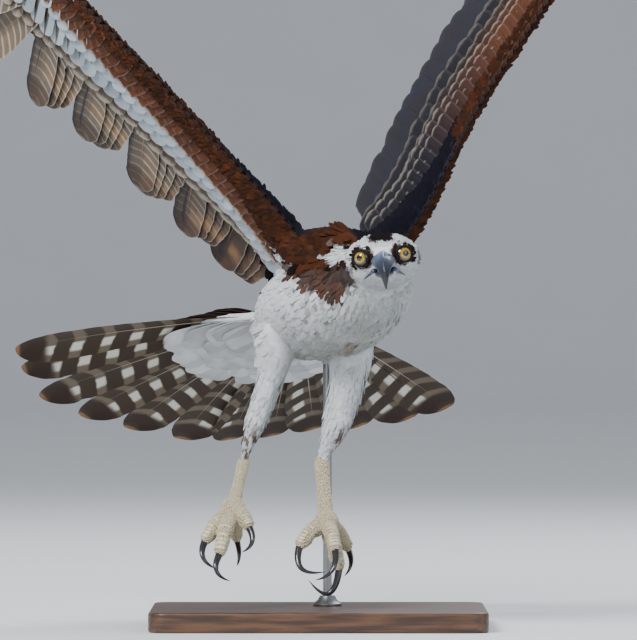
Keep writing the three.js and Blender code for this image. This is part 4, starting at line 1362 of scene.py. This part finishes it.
feet = {
    "right": {
        "ankle": np.array([-67.5, 2, 146.0]), "foot": np.array([-76, -36, 107.0]), "shank": 5.6,
        "toes": [
            ((-102, -50, 77), (-102, -60, 64), (-89, -58, 54)),
            ((-88, -64, 66), (-90, -73, 53), (-78, -66, 44)),
            ((-73, -8, 78), (-71, 0, 65), (-73, -9, 55)), ((-61, -50, 90), (-59, -57, 78), (-68, -55, 69)),
        ],
    },
    "left": {
        "ankle": np.array([3, -10, 146.0]), "foot": np.array([7, -38, 96.0]), "shank": 6.6,
        "toes": [
            ((-18, -52, 73), (-15, -62, 55), (6, -61, 52)), ((15, -66, 70), (12, -78, 54), (-3, -72, 45)),
            ((19, -36, 52), (9, -38, 32), (-9, -40, 44)), ((27, -8, 70), (29, 2, 57), (23, -5, 46)),
        ],
    },
}
toes = {  # the swell is the radius along a toe, as a share
    "radius": 4.6, "swell": ([0, 0.2, 0.55, 0.85, 0.95, 1], [1.4, 1.5, 1.42, 1.22, 1.0, 0.5]), "palm": 11.0,
    "claw": 3.4, "plates": 6, "plated": (0.4, 0.9),
}


def toeLine(foot, end):
    return [tuple(foot), tuple(foot + (np.array(end) - foot) * 0.55 + np.array([0, 0, 4])), end]


def toeRings(foot, end):
    t = np.linspace(0, 1, 40)
    at = spline(toeLine(foot, end), t)
    ahead = unit(np.gradient(at, axis=0))
    across = unit(np.cross(ahead, up) + 1e-6)
    angle = circle(24)
    radius = toes["radius"] * np.interp(t, *toes["swell"])[:, None]
    radius = radius * (1 + 0.035 * np.cos(t[:, None] * 2 * np.pi * 7))
    pads = 1 + 0.3 * np.clip(-np.sin(angle), 0, 1) * (0.5 + 0.5 * np.cos(t[:, None] * 2 * np.pi * 2.6 + 0.5))
    return ringed(at, across, np.cross(across, ahead), angle, radius, radius * pads)


def makeLegSkin():
    parts = []
    for f in feet.values():
        a, b, r = f["ankle"], f["foot"], f["shank"]
        shank = {"at": [a + (a - b) * 0.12, a, a + (b - a) * 0.4, b],
                 "half": r * np.array([(0.8, 0.85, 0), (1.02, 1.08, 0), (0.96, 1, 0), (1.15, 1.1, 0)])}
        parts.append(closedRings("shankForm", ovalRings(shank, 0.3, 40, 28, (1, 0, 0))))
        palm = b + ballWays(24, 28, 0.03) * toes["palm"] * np.array([1, 1, 0.95])
        parts.append(closedRings("palmForm", palm))
        parts += [closedRings("toeForm", toeRings(b, end)) for end, *_ in f["toes"]]
    return oneSkin(parts, *skins["legs"])


def makePlates(material):  # banded plates over each toe
    forms = []
    angle = np.radians(np.linspace(-68, 68, 11))[:, None]
    start, stop = toes["plated"]
    for foot, end in [(f["foot"], toe[0]) for f in feet.values() for toe in f["toes"]]:
        line = toeLine(foot, end)
        length = np.linalg.norm(foot - np.array(end)) * (stop - start) / toes["plates"] * 0.6
        for k in range(toes["plates"]):
            t = start + (stop - start) * (k + 0.5) / toes["plates"]
            at, after, before = spline(line, [t, min(t + 0.02, 1), max(t - 0.02, 0)])
            ahead = unit(after - before)
            across = unit(np.cross(ahead, up) + 1e-6)
            arc = across * np.sin(angle) + np.cross(across, ahead) * np.cos(angle)
            radius = toes["radius"] * 1.24 * (1.06 - 0.3 * (t - start))
            profile = ((-1, 0.1), (0.9, 0.75), (1.05, 0.4), (1.0, -0.5), (-1, -0.5))
            rings = [at + ahead * along * length + arc * (radius + lift) for along, lift in profile]
            forms.append((np.stack(rings, 1), tubeFaces(11, 5)))
    return joined("foot_plates", forms, material)


def makeClaws(material):
    forms = []
    t = np.linspace(0, 1, 44)[:, None]
    radius = np.maximum(toes["claw"] * (1 - t) ** 0.65, 0.12)
    for foot, toe in [(f["foot"], toe) for f in feet.values() for toe in f["toes"]]:
        end, bend, tip = (np.array(place, float) for place in toe)
        start = end + (foot - end) * 0.05
        pull = 2 * bend - (start + tip) / 2
        at = (1 - t) ** 2 * start + 2 * t * (1 - t) * pull + t ** 2 * tip
        ahead = unit(np.gradient(at, axis=0))
        across = np.broadcast_to(unit(np.cross(start - pull, tip - pull)), ahead.shape)
        rings = ringed(at, across, np.cross(ahead, across), circle(20), radius * 0.85, radius)
        forms.append((rings, tubeFaces(44, 20)))
    return joined("claws", forms, material)


# Small domed scales over the legs, by Geometry Nodes

legScales = {"Spacing": 0.0013, "Size": 0.00085, "Seed": 4}


def scaleTree(material):
    tree = bpy.data.node_groups.new("leg scales", "GeometryNodeTree")
    tree.interface.new_socket("Geometry", in_out="INPUT", socket_type="NodeSocketGeometry")
    for key, kind in (("Spacing", "Float"), ("Size", "Float"), ("Seed", "Int")):
        tree.interface.new_socket(key, in_out="INPUT", socket_type=f"NodeSocket{kind}")
    tree.interface.new_socket("Geometry", in_out="OUTPUT", socket_type="NodeSocketGeometry")
    add = tree.nodes.new
    start, end = add("NodeGroupInput"), add("NodeGroupOutput")
    scatter = add("GeometryNodeDistributePointsOnFaces")
    scatter.distribute_method = "POISSON"
    dome = add("GeometryNodeMeshIcoSphere")
    dome.inputs["Subdivisions"].default_value = 1
    flat = add("GeometryNodeTransform")
    flat.inputs["Scale"].default_value = (1, 1, 0.42)
    place = add("GeometryNodeInstanceOnPoints")
    real = add("GeometryNodeRealizeInstances")
    dress = add("GeometryNodeSetMaterial")
    dress.inputs["Material"].default_value = material
    smooth = add("GeometryNodeSetShadeSmooth")
    join = tree.links.new
    join(start.outputs["Geometry"], scatter.inputs["Mesh"])
    join(start.outputs["Spacing"], scatter.inputs["Distance Min"])
    scatter.inputs["Density Max"].default_value = 1200000
    join(start.outputs["Seed"], scatter.inputs["Seed"])
    join(start.outputs["Size"], dome.inputs["Radius"])
    join(dome.outputs["Mesh"], flat.inputs["Geometry"])
    join(scatter.outputs["Points"], place.inputs["Points"])
    join(scatter.outputs["Rotation"], place.inputs["Rotation"])
    join(flat.outputs["Geometry"], place.inputs["Instance"])
    join(place.outputs["Instances"], real.inputs["Geometry"])
    join(real.outputs["Geometry"], smooth.inputs["Geometry"])
    join(smooth.outputs["Geometry"], dress.inputs["Geometry"])
    join(dress.outputs["Geometry"], end.inputs["Geometry"])
    return tree


def grow(name, mesh, tree, values):
    source = makeObject(name + "Base", mesh.copy())
    nodes = source.modifiers.new("grow", "NODES")
    nodes.node_group = tree
    sockets = {s.name: s.identifier for s in tree.interface.items_tree if s.in_out == "INPUT"}
    for key, value in values.items():
        nodes[sockets[key]] = value
    bpy.context.view_layer.update()
    made = bpy.data.meshes.new_from_object(source.evaluated_get(bpy.context.evaluated_depsgraph_get()))
    bpy.data.objects.remove(source)
    return makeObject(name, made)


# Stand

stand = {
    "width": 300, "depth": 240, "height": 18, "corner": 16, "bevel": 2.5,
    "rod": 4, "foot": np.array([8, 30, 18.3]), "top": 246,
    "collar": [(4.3, 0), (12.4, 0), (13, 0.6), (13, 2.0), (12.2, 2.7), (8.6, 5.4), (7.2, 8.2), (6.6, 9.0),
               (4.3, 9.0)],
}


def makeBase(material):
    bevel, top = stand["bevel"], stand["height"]
    low, high = np.linspace(0.2, math.pi / 2, 6), np.linspace(0, math.pi / 2, 7)
    profile = [(0.0, 2.5), (0.0, 2.4)]
    profile += [(bevel * (1 - math.cos(a)), bevel * (1 - math.sin(a))) for a in low]
    profile += [(top - bevel * (1 - math.sin(a)), bevel * (1 - math.cos(a))) for a in high]
    profile.append((top, 8.0))
    rings = []
    for z, inset in profile:
        r = stand["corner"] - min(inset, bevel) * 0.9
        w, d = stand["width"] / 2 - inset - r, stand["depth"] / 2 - inset - r
        corners = ((w, d, 0), (-w, d, 90), (-w, -d, 180), (w, -d, 270))
        rings.append([(cx + r * math.cos(a), cy + r * math.sin(a), z)
                      for cx, cy, first in corners for a in np.radians(np.linspace(first, first + 90, 12))])
    rings = np.array(rings)
    return sharpRimmed(joined("stand_slab", [(rings, tubeFaces(*rings.shape[:2]))], material))


def turned(name, profile, material, web):
    rings = np.array([[(r * math.cos(a), r * math.sin(a), z) for a in circle(64)] for r, z in profile])
    return sharpRimmed(joined(name, [(rings + stand["foot"], web)], material))


# Stage

view = {"distance": 6.1, "height": 0.275, "lens": 383.5, "sensor": 36}
backdrop = {"flat": 16, "bend": 3, "height": 7}
sky = {"colour": (0.82, 0.86, 0.92, 1), "strength": 0.55}
lamps = {
    "key": ((-1.9, -2.9, 2.9), 1.6, 250, (1.0, 0.98, 0.95)),
    "fill": ((2.6, -2.6, 1.6), 2.2, 36, (0.88, 0.94, 1.0)),
    "rim": ((0.9, 2.4, 2.8), 1.8, 70, (0.92, 0.96, 1.0)),
}


def setStage():  # a round floor that bends up into its own backdrop, so that every side can be seen
    camera = bpy.data.objects.new("camera", bpy.data.cameras.new("camera"))
    bpy.context.scene.collection.objects.link(camera)
    camera.location = (0, -view["distance"], view["height"])
    camera.rotation_euler = (math.pi / 2, 0, 0)
    camera.data.lens = view["lens"]
    camera.data.sensor_width = view["sensor"]
    bpy.context.scene.camera = camera
    flat, bend = backdrop["flat"], backdrop["bend"]
    profile = [(0.1, 0), (3, 0), (flat, 0)]
    for a in np.linspace(0.1, math.pi / 2, 14):
        profile.append((flat + bend * math.sin(a), bend * (1 - math.cos(a))))
    profile.append((flat + bend, backdrop["height"]))
    verts = np.array([(r * math.cos(t), r * math.sin(t), z) for r, z in profile for t in circle(64)])
    material, tree, shader = newMaterial("floor", Roughness=0.75)
    cloud = mix(tree, objectNoise(tree, 3, 3), tone(236, 238, 240), tone(230, 233, 236))
    tree.links.new(cloud, shader.inputs["Base Color"])
    openTop = tubeFaces(len(profile), 64)[:-62]
    makeObject("floor", makeMesh("floor", verts, openTop), material)
    world = bpy.context.scene.world or bpy.data.worlds.new("world")
    bpy.context.scene.world = world
    world.use_nodes = True
    world.node_tree.nodes["Background"].inputs[0].default_value = sky["colour"]
    world.node_tree.nodes["Background"].inputs[1].default_value = sky["strength"]
    for name, (place, size, power, colour) in lamps.items():
        lamp = bpy.data.objects.new(name, bpy.data.lights.new(name, "AREA"))
        bpy.context.scene.collection.objects.link(lamp)
        lamp.location = place
        lamp.data.size, lamp.data.energy, lamp.data.color = size, power, colour
        x, y, z = np.array([0, 0, 0.4]) - np.array(place)
        lamp.rotation_euler = (math.atan2(math.hypot(x, y), -z), 0, math.atan2(y, x) - math.pi / 2)


def makePlumage():
    barbs = [("Across", 0.5), ("Along", 0.5), ("Density", 300), ("Slant", 0.5)]
    bars = [("Across", 0.5), ("Along", 0.5), ("Count", 7), ("Share", 0.5), ("Wobble", 0.05)]
    groups = {"barbs": makeGroup("barb lines", barbs, ["Height"], barbLines),
              "bars": makeGroup("cross bars", bars, ["Mask"], crossBars)}
    materials = {"body": bodyMaterial("body feathers", groups, True), "covert": covertMaterial(groups),
                 "flight": flightMaterial(groups), "tail": tailMaterial(groups)}
    skin = oneSkin(makeSkinParts(), *skins["body"])
    pos, normal = (readAll(skin.vertices, key).astype(float) for key in ("co", "normal"))
    paint(skin, "tint", bodyColour(pos / mm, normal, regionOf(pos / mm)) * 0.9)
    print("skin", len(skin.polygons), "faces")
    under = bodyMaterial("skin under feathers", groups, False)
    finished(makeObject("plumage_skin", skin, under),
             ["torso", "neck", "head", "thigh_right", "thigh_left"])
    for name, piece in makeCoat(skin, materials):
        finished(piece)
    for name in wings:
        for k, piece in enumerate(makeWing(name, materials)):
            finished(piece, [f"wing_{name}"] if k == 0 else [])
    for k, piece in enumerate(makeTail(materials)):
        finished(piece, ["tail"] if k == 0 else [])
    print("plumage ready")


def makeHead():
    horn, iris = billMaterial(), eyeMaterial()
    finished(makeBill("upper", horn), ["bill_upper"])
    finished(makeBill("lower", horn), ["bill_lower"])
    finished(makeGape(horn))
    finished(makeEye("eyeball_left", 1, iris), ["eye_left"])
    finished(makeEye("eyeball_right", -1, iris), ["eye_right"])
    finished(makeLids(lidMaterial()))
    print("head pieces ready")


def makeFeet():
    skin = makeLegSkin()
    finished(makeObject("leg_skin", skin, scaleMaterial()),
             ["tarsus_right", "tarsus_left", "foot_right", "foot_left"])
    plates = plateMaterial()
    small = grow("leg_scales", skin, scaleTree(plates), legScales)
    print("leg scales", len(small.data.polygons), "triangles")
    finished(small)
    finished(makePlates(plates))
    finished(makeClaws(clawMaterial()), [f"claw_{side}_{k}" for side in feet for k in (1, 2, 3, 4)])
    print("feet ready")


def makeStand():
    finished(makeBase(woodMaterial()), ["stand_base"])
    steel = steelMaterial()
    tall = stand["top"] - stand["foot"][2]
    rod = [(0.01, 0), (stand["rod"], 0), (stand["rod"], tall), (0.01, tall)]
    finished(turned("stand_post", rod, steel, tubeFaces(len(rod), 64)), ["stand_rod"])
    collar = stand["collar"]
    flange = turned("stand_flange", collar, steel, ringFaces(len(collar), 64))
    finished(flange, ["stand_collar"])
    print("stand ready")


setStage()
makePlumage()
makeHead()
makeFeet()
makeStand()
bpy.context.view_layer.update()
